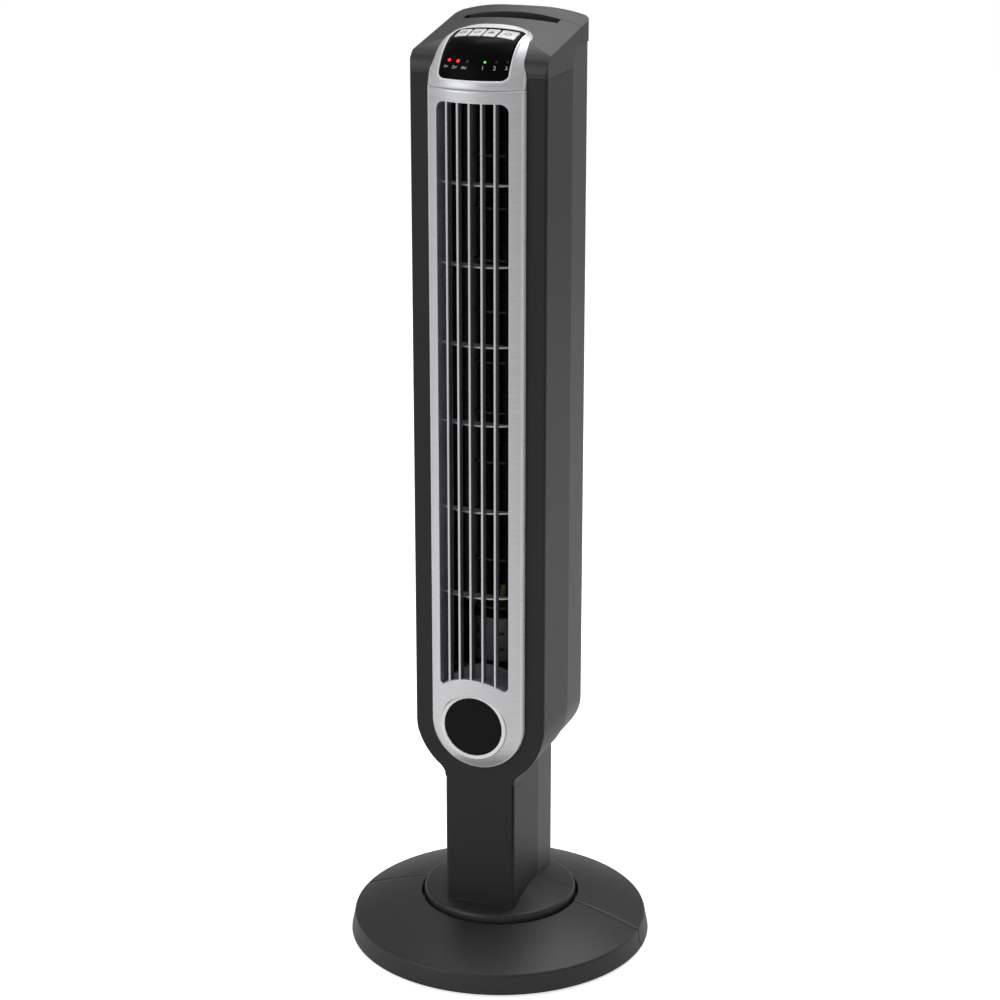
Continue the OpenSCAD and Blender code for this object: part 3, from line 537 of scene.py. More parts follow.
def finish_tree(tree, source, given, result):
    """Realize the copies, give them the finish and send them out."""
    real = flow(tree, "RealizeInstances", {"Geometry": source})
    done = flow(tree, "SetMaterial", {"Geometry": real, "Material": given.outputs["Finish"]})
    tree.links.new(done, result.inputs[0])


def grow(name, tree, start_mesh, settings):
    """Run a tree on a starting mesh and keep the result as a plain mesh."""
    seed = link_object(name + "_seed", start_mesh)
    modifier = seed.modifiers.new("grow", "NODES")
    modifier.node_group = tree
    for item in tree.interface.items_tree:
        if item.item_type == "SOCKET" and item.in_out == "INPUT" and item.name in settings:
            modifier[item.identifier] = settings[item.name]
    return shade(take_mesh(seed, name), 35)


def math_node(tree, operation, a, b):
    """The result of a sum on two numbers or sockets."""
    return add_node(tree, "ShaderNodeMath", {0: a, 1: b}, operation=operation).outputs[0]


def bar_tree():
    """Upright bars: a rounded strip swept up a line at each starting point, cut to its own length."""
    tree, given, result = new_tree(
        "outlet_bars", ("Width", "NodeSocketFloat", 0.0023), ("Depth", "NodeSocketFloat", 0.009),
        ("Edge", "NodeSocketFloat", 0.001), ("Finish", "NodeSocketMaterial", None))
    strip = flow(tree, "CurvePrimitiveQuadrilateral", {
        "Width": given.outputs["Width"], "Height": given.outputs["Depth"]})
    eased = flow(tree, "FilletCurve", {
        "Count": 5, "Curve": strip, "Radius": given.outputs["Edge"]}, mode="POLY")
    rail = flow(tree, "CurvePrimitiveLine", {"Start": (0, 0, 0), "End": (0, 0, 1)})
    bar = flow(tree, "CurveToMesh", {"Fill Caps": True, "Curve": rail, "Profile Curve": eased})
    reach = add_node(tree, "GeometryNodeInputNamedAttribute", {"Name": "reach"}, data_type="FLOAT_VECTOR")
    copies = flow(tree, "InstanceOnPoints", {
        "Points": given.outputs[0], "Instance": bar, "Scale": reach.outputs["Attribute"]})
    finish_tree(tree, copies, given, result)
    return tree


def points_mesh(name, points, **vectors):
    """Loose points in metres with named vector attributes."""
    mesh = bpy.data.meshes.new(name)
    mesh.from_pydata([tuple(p) for p in points], [], [])
    for key, values in vectors.items():
        attribute = mesh.attributes.new(key, "FLOAT_VECTOR", "POINT")
        for i, value in enumerate(values):
            attribute.data[i].vector = value
    return mesh


def outlet_bars():
    """Five upright bars: silver in front, with a darker copy of the silver on their sides and back as painted
    shade.
    """
    count, pitch, width, depth, edge, bury = 5, 11.5, 2.3, 9.0, 0.95, 1.5
    feet, reaches = [], []
    for k in range(count):
        x = (k - (count - 1) / 2) * pitch
        low = BADGE_Z + math.sqrt(ARCH * ARCH - x * x) - bury
        feet.append(Vector((x, panel_y(x, OUTLET_TOP) + 0.2 + depth / 2, low)) * MM)
        reaches.append((1, 1, (OUTLET_TOP + bury - low) * MM))
    mesh = grow("outlet_bars", bar_tree(), points_mesh("bar_feet", feet, reach=reaches),
                {"Width": width * MM, "Depth": depth * MM, "Edge": edge * MM, "Finish": SILVER})
    bars = add_piece("outlet_bars", mesh, None, body="tower", slot="silver_paint")
    bars.data.materials.append(BAR_SIDE_SHADE)
    # Painted shade: faces turned sideways or backwards get the darker silver.
    for face in bars.data.polygons:
        if abs(face.normal.x) > 0.75 or face.normal.y > 0.75:
            face.material_index = len(bars.data.materials) - 1


outlet_bars()


def blower_tree():
    """A drum of curved blades between rings, standing on the seed's place."""
    tree, given, result = new_tree(
        "blower_drum", ("Blades", "NodeSocketInt", 20), ("Rings", "NodeSocketInt", 11),
        ("Radius", "NodeSocketFloat", 0.039), ("Height", "NodeSocketFloat", 0.48),
        ("Blade Width", "NodeSocketFloat", 0.009), ("Ring Height", "NodeSocketFloat", 0.002),
        ("Finish", "NodeSocketMaterial", None))
    link = tree.links.new

    def join(*parts):
        both = add_node(tree, "GeometryNodeJoinGeometry")
        for part in parts:
            link(part, both.inputs[0])
        return both.outputs[0]

    def in_from_rim(share):
        inwards = math_node(tree, "MULTIPLY", given.outputs["Blade Width"], share)
        return math_node(tree, "SUBTRACT", given.outputs["Radius"], inwards)

    bend = flow(tree, "CurveArc", {
        "Resolution": 7, "Radius": 0.0065, "Start Angle": math.radians(30), "Sweep Angle": math.radians(85)},
        mode="RADIUS")
    top = add_node(tree, "ShaderNodeCombineXYZ", {"Z": given.outputs["Height"]}).outputs[0]
    upright = flow(tree, "CurvePrimitiveLine", {"End": top})
    sheet = flow(tree, "CurveToMesh", {"Curve": upright, "Profile Curve": bend})
    thick = flow(tree, "ExtrudeMesh", {"Offset Scale": 0.0011, "Individual": False, "Mesh": sheet})
    blade = join(thick, flow(tree, "FlipFaces", {0: sheet}))
    weld = flow(tree, "MergeByDistance", {"Distance": 0.00001, 0: blade})
    wheel = flow(tree, "MeshCircle", {"Vertices": given.outputs["Blades"], "Radius": in_from_rim(0.55)})
    spot = add_node(tree, "ShaderNodeSeparateXYZ", {0: flow(tree, "InputPosition")})
    turn = math_node(tree, "ARCTAN2", spot.outputs["Y"], spot.outputs["X"])
    around = add_node(tree, "ShaderNodeCombineXYZ", {"Z": turn}).outputs[0]
    blades = flow(tree, "InstanceOnPoints", {"Points": wheel, "Instance": weld, "Rotation": around})
    hoop_line = flow(tree, "CurvePrimitiveCircle", {"Resolution": 64, "Radius": in_from_rim(0.5)})
    band = flow(tree, "CurvePrimitiveQuadrilateral", {
        "Width": given.outputs["Blade Width"], "Height": given.outputs["Ring Height"]})
    soft = flow(tree, "FilletCurve", {"Count": 2, "Radius": 0.0004, "Curve": band}, mode="POLY")
    hoop = flow(tree, "CurveToMesh", {"Curve": hoop_line, "Profile Curve": soft})
    stack = flow(tree, "MeshLine", {"Count": given.outputs["Rings"], "Offset": top}, mode="END_POINTS")
    hoops = flow(tree, "InstanceOnPoints", {"Points": stack, "Instance": hoop})
    copies = flow(tree, "InstanceOnPoints", {"Points": given.outputs[0], "Instance": join(blades, hoops)})
    finish_tree(tree, copies, given, result)
    return tree


def blower_drum():
    """The bladed drum, and the two solid discs that close its ends."""
    low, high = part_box("blower_wheel")
    ring = 0.002
    foot = Vector(((low.x + high.x) / 2, (low.y + high.y) / 2, low.z + ring / 2))
    mesh = grow("blower_drum", blower_tree(), points_mesh("drum_foot", [foot]), {
        "Blades": 20, "Rings": 11, "Radius": (high.x - low.x) / 2, "Height": high.z - low.z - ring,
        "Blade Width": 0.009, "Ring Height": ring, "Finish": INNER_BLACK_AND_RECESS_SHADE})
    work = bmesh.new()
    for z, inner in ((low.z / MM, 9.0), (high.z / MM - 2, 4.0)):
        radii = ((inner, 0.2), (inner, 1.8), (14, 1.8), (15, 1.2), (32, 1.2), (32, 0.8), (15, 0.8), (14, 0.2))
        disc = turned_z([(r, z + up) for r, up in radii], 64, foot.x / MM, foot.y / MM)
        add_solid(work, disc, closed_through=True)
    add_piece("blower_drum", mesh, None, body="blower", slot=SLOT_OF["blower_wheel"])
    add_piece("blower_discs", close_mesh("blower_discs", work), INNER_BLACK_AND_RECESS_SHADE, ("blower_wheel",))


blower_drum()

# ---- badge -------------------------------------------------------------------------------------


def badge():
    """Bright flat rim with eased edges and a slightly domed plain black disc."""
    ring_low, ring_high = box_mm("badge_ring")
    rim_out = ring_high.x
    disc = box_mm("badge_plate")[1].x
    rim_in = disc - 0.6
    back = ring_low.y + 4.8
    front = ring_low.y - 0.2
    profile = [(rim_out, back)]
    profile += [(rim_out - into, front + down) for into, down in rounding(0.7, 5)]
    profile += [(rim_in + into, front + down) for into, down in reversed(rounding(0.5, 4))]
    profile += [(rim_in, ring_low.y + 0.9), (disc + 0.1, ring_low.y + 2.2), (disc + 0.1, back)]
    rim = solid_mesh("badge_rim", turned_y(profile, BADGE_Z, 128), 60, closed_through=True)
    add_piece("badge_rim", rim, TRIM_AND_HIGHLIGHT, ("badge_ring",))
    face = ring_low.y + 0.9
    profile = [(disc - 0.05, face + 2.2), (disc - 0.05, face + 1.0), (disc - 0.7, face + 0.3)]
    profile += [(r, face - 0.5 * (1 - (r / disc) ** 2)) for r in (27, 22, 16, 10, 5, 1.5)]
    plate = solid_mesh("badge_disc", turned_y(profile, BADGE_Z), 60)
    add_piece("badge_disc", plate, BADGE_BLACK, ("badge_plate",))


badge()

# ---- control bezel, window and keys ------------------------------------------------------------

HUB_BACK = 60.3
HUB_Y, HUB_Z = PANEL_FRONT + HUB_BACK, PANEL_TOP - 7.0
TILT = math.radians(10.8)
CROWN_Z = 904.05
CROWN_R = 210.0
LIFT = 3.0
BEZEL_BACK = box_mm("control_bezel")[1].y
ROLL = 58.0


def bezel_reach(x, turn):
    """Distance of the bezel's skin from its rolling axis, at a width x and an angle from the front."""
    rolled = HUB_BACK - PANEL_BOW + math.sqrt(PANEL_BOW ** 2 - x * x)
    ray_y, ray_z = -math.cos(turn), math.sin(turn)
    normal_y, normal_z = -math.sin(TILT), math.cos(TILT)
    crown = -CROWN_R + math.sqrt((CROWN_R + LIFT) ** 2 - x * x)
    start = HUB_Y * normal_y + (HUB_Z - CROWN_Z) * normal_z
    climb = ray_y * normal_y + ray_z * normal_z
    if climb < 0.05:
        return rolled
    crowned = (crown - start) / climb
    ease = 2.6
    gap = max(ease - abs(rolled - crowned), 0) / ease
    return min(rolled, crowned) - gap * gap * ease / 4


def on_bezel(x, turn, sink=0.0):
    """Point sunk below the skin, at a width x and an angle from the front."""
    reach = bezel_reach(x, turn) - sink
    return Vector((x, HUB_Y - reach * math.cos(turn), HUB_Z + reach * math.sin(turn)))


def lay(points, sink, roll=1.0):
    """Flat (x, length) points laid on the skin; roll is the length that goes to one radian."""
    return [on_bezel(p.x, p.y / roll, sink) for p in points]


def bezel_turn_at(x, value, axis):
    """Angle from the front at which the skin reaches a given Y or Z."""
    low, high = 0.0, math.radians(120)
    for _ in range(40):
        mid = (low + high) / 2
        if on_bezel(x, mid)[axis] < value:
            low = mid
        else:
            high = mid
    return (low + high) / 2


WINDOW_LOW, WINDOW_BACK = 864.0, -19.5
WINDOW_HALF, WINDOW_REACH = 33.0, 38.0
WINDOW_FRONT_R, WINDOW_BACK_R = 6.0, 3.0


def window_turn(x, v):
    """Angle from the front at a height v over the window, from -WINDOW_REACH up to WINDOW_REACH."""
    low = bezel_turn_at(x, WINDOW_LOW, 2)
    high = bezel_turn_at(x, WINDOW_BACK, 1)
    return low + (high - low) * (v + WINDOW_REACH) / (2 * WINDOW_REACH)


def window_edge(grow_mm):
    """Window outline in (x, angle) from its back left corner, down, across the front and back."""
    half, end = WINDOW_HALF + grow_mm, WINDOW_REACH + grow_mm
    front, back = WINDOW_FRONT_R + grow_mm, max(WINDOW_BACK_R + grow_mm, 0.4)
    points = line((-half, end - back), (-half, -end + front), 28)
    points += arc((-half + front, -end + front), front, 180, 270, 10)
    points += line((-half + front, -end), (half - front, -end), 28)
    points += arc((half - front, -end + front), front, 270, 360, 10)
    points += line((half, -end + front), (half, end - back), 28)
    points += arc((half - back, end - back), back, 0, 90, 10)
    points += line((half - back, end), (-half + back, end), 28)
    points += arc((-half + back, end - back), back, 90, 180, 10)
    return [Vector((p.x, window_turn(p.x, p.y))) for p in points]


def bezel_edge(inset):
    """Bezel outline in (x, angle), point for point with the window's."""
    half = PANEL_HALF - inset
    back = BEZEL_BACK - inset
    corner = 18.0 - inset
    low = PANEL_TOP + 0.35 + inset
    at_low = lambda x: Vector((x, bezel_turn_at(x, low, 2)))
    at_y = lambda x, y: Vector((x, bezel_turn_at(x, y, 1)))
    side_top = at_y(half, back - corner).y
    side_low = at_low(half).y
    points = line((-half, side_top), (-half, side_low), 33)
    points += [at_low(-half + 2 * half * i / 38) for i in range(38)]
    points += line((half, side_low), (half, side_top), 33)
    points += [at_y(p.x, p.y) for p in arc((half - corner, back - corner), corner, 0, 90, 15)]
    points += [at_y(half - corner - 2 * (half - corner) * i / 18, back) for i in range(18)]
    points += [at_y(p.x, p.y) for p in arc((-half + corner, back - corner), corner, 90, 180, 15)]
    return points


def control_bezel():
    """Silver surround: rolled outer edge, raised lip and a shallow groove at the window, with painted
    highlights along the lip and the outer edge.
    """
    edge_round, groove = 1.7, 2.6
    loops = [lay(bezel_edge(0), 8.0)]
    loops += [lay(bezel_edge(into), down) for into, down in rounding(edge_round, 5)]
    outer, inner = bezel_edge(edge_round), window_edge(groove)
    for k in range(1, 9):
        loops.append(lay([a.lerp(b, k / 9) for a, b in zip(outer, inner)], 0))
    lip = ((groove, 0.0), (2.2, -0.05), (1.9, -0.22), (1.5, -0.42), (1.1, -0.5), (0.7, -0.42), (0.4, -0.15),
           (0.2, 0.3), (0.12, 0.9), (0.12, 2.6))
    loops += [lay(window_edge(out), sink) for out, sink in lip]
    loops.append(lay(window_edge(3.0), 5.0))
    mesh = solid_mesh("bezel_surround", loops, 60, closed_through=True)
    piece = add_piece("bezel_surround", mesh, BEZEL_SILVER, ("control_bezel",))
    # Painted highlights: bright trim along the crest of the window's lip and along the outer edge above the
    # panel.
    bright = [(p, 1.5) for p in lay(window_edge(1.1), -0.5)]
    bright += [(p, 2.3) for p in lay(bezel_edge(0.4), 0.4) if p.z > PANEL_TOP + 2.5]
    near = KDTree(len(bright))
    for i, (place, _) in enumerate(bright):
        near.insert(place, i)
    near.balance()

    def on_highlight_line(point):
        _, i, gap = near.find(point)
        return gap < bright[i][1]

    paint_highlight(piece, on_highlight_line)


control_bezel()

KEY_EDGES = {"timer_key": (-27.5, -16.0), "swing_key": (-14.2, -2.3), "speed_key": (-0.9, 10.9),
             "power_key": (12.9, 29.0)}
KEY_FRONT, KEY_BACK = -44.3, -25.5
WINDOW_SINK = 0.4
KEY_RISE = 0.35


def crown_turn(x, y):
    """Angle from the front at a point given in the crown's own tilted plan."""
    crown = -CROWN_R + math.sqrt((CROWN_R + LIFT) ** 2 - x * x)
    flat_y = y * math.cos(TILT) - crown * math.sin(TILT)
    flat_z = CROWN_Z + y * math.sin(TILT) + crown * math.cos(TILT)
    return math.atan2(flat_z - HUB_Z, HUB_Y - flat_y)


def display_window():
    """Black glossy window: a fine grid over its outline with an opening for each key."""
    gap = 0.45
    spans = [(left - gap, right + gap) for left, right in KEY_EDGES.values()]
    columns = []
    for start, end in spans:
        columns = [c for c in columns if abs(c - start) > 0.01]
        columns += [start + (end - start) * i / 5 for i in range(6)]
    columns = sorted(set(round(c, 4) for c in columns))
    heights = [-WINDOW_REACH + WINDOW_REACH * 2 * i / 60 for i in range(61)]
    key_low, key_high = crown_turn(0, KEY_FRONT - gap), crown_turn(0, KEY_BACK + gap)
    work = bmesh.new()
    sheet = []
    for v in heights:
        inset = 0.0
        for radius, end in ((WINDOW_FRONT_R, -WINDOW_REACH), (WINDOW_BACK_R, WINDOW_REACH)):
            depth = abs(v - end)
            if depth < radius:
                inset = radius - math.sqrt(max(radius ** 2 - (radius - depth) ** 2, 0))
        half = WINDOW_HALF - 0.05 - inset
        xs = [-half, -half * 0.5 + columns[0] * 0.5] + columns + [half * 0.5 + columns[-1] * 0.5, half]
        xs = sorted(min(max(x, -half), half) for x in xs)
        row = [work.verts.new(on_bezel(x, window_turn(x, v), WINDOW_SINK)) for x in xs]
        sheet.append((key_low < window_turn(0, v) < key_high, row, xs))
    for (by_keys, low, xs), (still_by_keys, high, _) in zip(sheet, sheet[1:]):
        for i in range(len(low) - 1):
            mid = (xs[i] + xs[i + 1]) / 2
            if by_keys and still_by_keys and any(a < mid < b for a, b in spans):
                continue
            work.faces.new((low[i], low[i + 1], high[i + 1], high[i]))
    bmesh.ops.recalc_face_normals(work, faces=work.faces)
    mesh = close_mesh("window_glass", work, 40)
    obj = add_piece("window_glass", mesh, GLOSS_BLACK, ("display_window",))
    solid = obj.modifiers.new("thickness", "SOLIDIFY")
    solid.thickness = 1.6 * MM
    solid.offset = -1


display_window()


def key_cap(node):
    """White cap that follows the roll of the bezel, with rounded edges and a turned-down front."""
    left, right = KEY_EDGES[node]
    front, back = crown_turn(0, KEY_FRONT), crown_turn(0, KEY_BACK)
    corner, edge_round, skirt = 1.2, 0.6, 2.6

    def outline(inset):
        a, b = left + inset, right - inset
        s0, s1 = front * ROLL + inset, back * ROLL - inset
        r = max(corner - inset, 0.3)
        points = line((a, s1 - r), (a, s0 + r), 8) + arc((a + r, s0 + r), r, 180, 270, 5)
        points += line((a + r, s0), (b - r, s0), 8) + arc((b - r, s0 + r), r, 270, 360, 5)
        points += line((b, s0 + r), (b, s1 - r), 8) + arc((b - r, s1 - r), r, 0, 90, 5)
        points += line((b - r, s1), (a + r, s1), 8) + arc((a + r, s1 - r), r, 90, 180, 5)
        return points

    centre = Vector(((left + right) / 2, (front + back) * ROLL / 2))
    loops = [lay(outline(0), skirt, ROLL)]
    loops += [lay(outline(into), down - KEY_RISE, ROLL) for into, down in rounding(edge_round, 3)]
    for k in (0.25, 0.5, 0.75, 0.95):
        loops.append(lay([p.lerp(centre, k) for p in outline(edge_round)], -KEY_RISE, ROLL))
    add_piece(node + "_cap", solid_mesh(node + "_cap", loops, 50), KEY_WHITE, (node,))


for key_node in KEY_EDGES:
    key_cap(key_node)


def key_mark(node, strokes, centre, width=0.95, ink=0.06, sink=0.02):
    """Flat printed strokes on a key, each a list of (x, length) points, laid on its top as thin ribbons."""
    work = bmesh.new()
    for stroke in strokes:
        closed = stroke[0] == stroke[-1]
        points = [Vector(p) for p in (stroke[:-1] if closed else stroke)]
        count = len(points)
        loops = []
        for i, p in enumerate(points):
            before = points[i - 1] if (i or closed) else p
            after = points[(i + 1) % count] if (i < count - 1 or closed) else p
            along = (after - before).normalized()
            side = Vector((-along.y, along.x)) * width / 2
            left, right = centre + p + side, centre + p - side
            loops.append([on_bezel(q.x, q.y / ROLL, sink - KEY_RISE - up)
                          for q, up in ((left, 0), (left, ink), (right, ink), (right, 0))])
        add_solid(work, loops, closed_through=closed)
    add_piece(node + "_mark", close_mesh(node + "_mark", work, 40), INK_DARK, body=node, slot="key_white")


def ring_stroke(radius, start=0, end=360, steps=28, cx=0.0, cy=0.0):
    """Points of a ring or an arc, in degrees; a full ring ends on its first point."""
    turned = [math.radians(start + (end - start) * i / steps) for i in range(steps + 1)]
    points = [(cx + radius * math.cos(t), cy + radius * math.sin(t)) for t in turned]
    if abs(end - start) == 360:
        points[-1] = points[0]
    return points


def key_marks():
    """Plain printed symbols: a clock, turning arrows, fan blades and a power mark."""
    middle = (crown_turn(0, KEY_FRONT) + crown_turn(0, KEY_BACK)) * ROLL / 2
    clock = [ring_stroke(2.7), [(0, 0), (0, 1.8)], [(0, 0), (1.3, 0)]]
    arrows = [ring_stroke(2.6, 200, 340), ring_stroke(2.6, 20, 160), [(-3.4, 0.4), (-2.5, -0.9), (-1.5, 0.2)],
              [(3.4, -0.4), (2.5, 0.9), (1.5, -0.2)]]
    blades = [ring_stroke(1.15, 0, 360, 14, 1.7 * math.cos(math.radians(a)), 1.7 * math.sin(math.radians(a)))
              for a in (90, 210, 330)]
    power = [ring_stroke(2.7, 125, 415), [(0, 0.9), (0, 3.4)]]
    for node, strokes in zip(KEY_EDGES, (clock, arrows, blades, power)):
        left, right = KEY_EDGES[node]
        key_mark(node, strokes, Vector(((left + right) / 2, middle)))


key_marks()


LAMP_LIFT = 12.1
LAMP_Z = (box_mm("timer_lamps")[0].z + box_mm("timer_lamps")[1].z) / 2 + LAMP_LIFT
NUMERAL_Z = LAMP_Z - 6.4


def lamps():
    """Small lenses in the window, two red and one green of them lit."""
    lens = ((1.0, -0.6), (1.0, 0.02), (0.92, 0.14), (0.7, 0.26), (0.35, 0.32), (0.1, 0.34))
    for name, material, places, radius, slot in (
        ("timer_lamp_lit", LAMP_RED, (-23.3, -13.8), 1.45, "lamp_red"),
        ("timer_lamp_off", LAMP_OFF, (-4.3,), 1.45, "lamp_red"),
        ("speed_lamp_lit", LAMP_GREEN, (11.8,), 1.05, "lamp_green"),
        ("speed_lamp_off", LAMP_OFF, (21.6, 30.6), 1.05, "lamp_green"),
    ):
        work = bmesh.new()
        for x in places:
            centre = Vector((x, bezel_turn_at(x, LAMP_Z, 2) * ROLL))
            rings = [(up, [centre + Vector((math.cos(t), math.sin(t))) * radius * r for t in turns(20)])
                     for r, up in lens]
            add_solid(work, [lay(points, WINDOW_SINK - up, ROLL) for up, points in rings])
        add_piece(name, close_mesh(name, work, 50), material, body="tower", slot=slot)


lamps()


def window_text():
    """Small plain numerals under the lamps, laid on the window."""
    work = bmesh.new()
    for body, x0, size in (("1hr", -26.0, 4.0), ("2hr", -16.4, 4.0), ("4hr", -6.8, 4.0),
                           ("1", 10.6, 5.4), ("2", 20.9, 5.4), ("3", 30.4, 5.4)):
        curve = bpy.data.curves.new("numeral", "FONT")
        curve.body = body
        curve.size = size
        curve.align_x = "CENTER"
        curve.resolution_u = 3
        holder = link_object("numeral", curve)
        bpy.context.view_layer.update()
        flat = take_mesh(holder, "numeral")
        part = bmesh.new()
        part.from_mesh(flat)
        foot = bezel_turn_at(x0, NUMERAL_Z, 2) * ROLL
        points = [Vector((x0 + v.co.x, foot + v.co.y)) for v in part.verts]
        over, under = [[work.verts.new(p) for p in lay(points, WINDOW_SINK - up, ROLL)]
                       for up in (0.05, -0.02)]
        for face in part.faces:
            work.faces.new([over[v.index] for v in face.verts])
            work.faces.new([under[v.index] for v in reversed(face.verts)])
        for edge in part.edges:
            if edge.is_boundary:
                a, b = (v.index for v in edge.verts)
                work.faces.new((over[a], over[b], under[b], under[a]))
        part.free()
        bpy.data.meshes.remove(flat)
    mesh = close_mesh("window_numerals", work, 30)
    add_piece("window_numerals", mesh, INK_PALE, body="tower", slot="gloss_black")


window_text()

# ---- screws and feet ---------------------------------------------------------------------------


def islands(node):
    """Low and high corners, in millimetres, of each separate solid in a CAD node."""
    work = bmesh.new()
    work.from_mesh(frame["nodes"][node].data)
    bmesh.ops.remove_doubles(work, verts=work.verts, dist=1e-6)
    left = set(work.verts)
    boxes = []
    while left:
        front = [left.pop()]
        found = list(front)
        while front:
            vert = front.pop()
            for edge in vert.link_edges:
                other = edge.other_vert(vert)
                if other in left:
                    left.remove(other)
                    front.append(other)
                    found.append(other)
        low = [min(v.co[i] for v in found) / MM for i in range(3)]
        high = [max(v.co[i] for v in found) / MM for i in range(3)]
        boxes.append((Vector(low), Vector(high)))
    work.free()
    return sorted(boxes, key=lambda box: tuple(round(c, 2) for c in box[0]))


def copies_tree():
    """One finished pattern set on every starting point."""
    tree, given, result = new_tree(
        "copies", ("Pattern", "NodeSocketObject", None), ("Finish", "NodeSocketMaterial", None))
    info = add_node(tree, "GeometryNodeObjectInfo", {"Object": given.outputs["Pattern"]})
    placed = flow(tree, "InstanceOnPoints", {
        "Points": given.outputs[0], "Instance": info.outputs["Geometry"]})
    finish_tree(tree, placed, given, result)
    return tree


COPIES = copies_tree()


def set_copies(node, loops, spots, material):
    """A pattern drawn from loops, copied to spots in place of a CAD node."""
    pattern = link_object(node + "_pattern", solid_mesh(node + "_pattern", loops, 40))
    mesh = grow(node + "_set", COPIES, points_mesh(node + "_spots", [p * MM for p in spots]),
                {"Pattern": pattern, "Finish": material})
    bpy.data.objects.remove(pattern)
    add_piece(node + "_set", mesh, None, (node,))


def screw_loops(shank_r, shank_len, head_r, head_h):
    """Pan head screw along Y with a cross recess; the head's top is at zero."""
    steps = 64

    def cross(arm, half, y):
        ring = []
        for t in turns(steps):
            near = (t + math.pi / 4) % (math.pi / 2) - math.pi / 4
            r = min(arm / math.cos(near), half / max(abs(math.sin(near)), 1e-6))
            ring.append((r * math.cos(t), y, r * math.sin(t)))
        return ring

    tip = -head_h - shank_len
    profile = [(shank_r * 0.5, tip), (shank_r, tip + 1.2), (shank_r, -head_h - 0.01), (head_r, -head_h)]
    profile += [(head_r - into, -down) for into, down in rounding(head_h * 0.6, 5)]
    recess = [cross(head_r * 0.52, 0.42, 0), cross(head_r * 0.46, 0.34, -head_h * 0.5)]
    return turned_y(profile, 0, steps) + recess


def foot_loops(pad_r, pad_h, peg_r, peg_h):
    """Rubber pad with an eased edge, two grip rings and its peg, from the floor up."""
    groove, edge, break_edge = 0.4, 0.8, 0.3
    profile = [(0.8, groove), (3.4, groove), (3.7, 0), (4.5, 0), (4.8, groove), (6.6, groove), (6.9, 0)]
    profile += [(pad_r - edge, 0)]
    profile += [(pad_r - edge + edge * math.sin(math.radians(a)), edge - edge * math.cos(math.radians(a)))
                for a in (22.5, 45, 67.5, 90)]
    profile += [(pad_r, pad_h - break_edge), (pad_r - break_edge, pad_h), (peg_r + break_edge, pad_h),
                (peg_r, pad_h + break_edge), (peg_r, peg_h - 0.6), (peg_r - 0.6, peg_h)]
    return turned_z(profile, 48)


def seat(low, high, axis, place):
    """Middle of a box, moved along one axis to a place."""
    spot = (low + high) / 2
    spot[axis] = place
    return spot


for screws, shank, head_h in (("housing_screws", 1.4, 2.2), ("base_screws", 1.6, 2.0)):
    boxes = islands(screws)
    low, high = boxes[0]
    loops = screw_loops(shank, high.y - low.y - head_h, (high.x - low.x) / 2, head_h)
    set_copies(screws, loops, [seat(a, b, 1, b.y) for a, b in boxes], ZINC)

pads = islands("rubber_feet")
pad_low, pad_high = pads[0]
pad_loops = foot_loops((pad_high.x - pad_low.x) / 2, 4, 3, pad_high.z - pad_low.z)
set_copies("rubber_feet", pad_loops, [seat(a, b, 2, a.z) for a, b in pads], RUBBER)

# ---- casings and base --------------------------------------------------------------------------

CAP_SEAM = box_mm("top_cap")[0].z
REAR_SEAM = box_mm("carry_handle")[0].z
HANDLE_SEAM = box_mm("carry_handle")[0].y
SPLIT = box_mm("rear_housing")[0].y
BROWS = ((-36.85, 867.0, 20.0), (-8.566, 838.716, 60.0), (55.2, 906.4, 8.0))
CASING_ENDS = (65.9, 64.9)
REAR_CORNER_X, REAR_CORNER_Y, REAR_CORNER_R = 55.9, 54.0, 10.0
CROWN_AXIS = (0, math.cos(TILT), math.sin(TILT))
CROWN_CENTRE = (0, CROWN_R * math.sin(TILT), CROWN_Z - CROWN_R * math.cos(TILT))
ROLLED_SURFACES = [turned_surface(CROWN_AXIS, CROWN_CENTRE, CROWN_R)]
ROLLED_SURFACES += [turned_surface((1, 0, 0), (0, y, z), r) for y, z, r in BROWS]
ROLLED_SURFACES += [turned_surface((0, 1, 0), (0, 0, BADGE_Z), r) for r in CASING_ENDS]
ROLLED_SURFACES += [turned_surface((0, 0, 1), (side * REAR_CORNER_X, REAR_CORNER_Y, 0), REAR_CORNER_R)
                    for side in (-1, 1)]


def gets_recess_shade(point):
    """True inside the hand recess, whose faces get the inner black as painted shade."""
    half, front, back, floor, crown_skin = 46.3, 17.0, 36.3, 865, 1.2
    below = CROWN_Z + point.y * math.tan(TILT) - (point.x ** 2) / (2 * CROWN_R) - point.z
    return abs(point.x) < half and front < point.y < back and floor < point.z and below > crown_skin


softened("front_housing", ((2, CAP_SEAM), (1, SPLIT), (1, CASING_FRONT)))
softened("rear_housing", ((2, REAR_SEAM), (1, SPLIT)))
softened("top_cap", ((2, CAP_SEAM), (1, HANDLE_SEAM), (2, REAR_SEAM)))
softened("carry_handle", ((2, REAR_SEAM), (1, HANDLE_SEAM)))


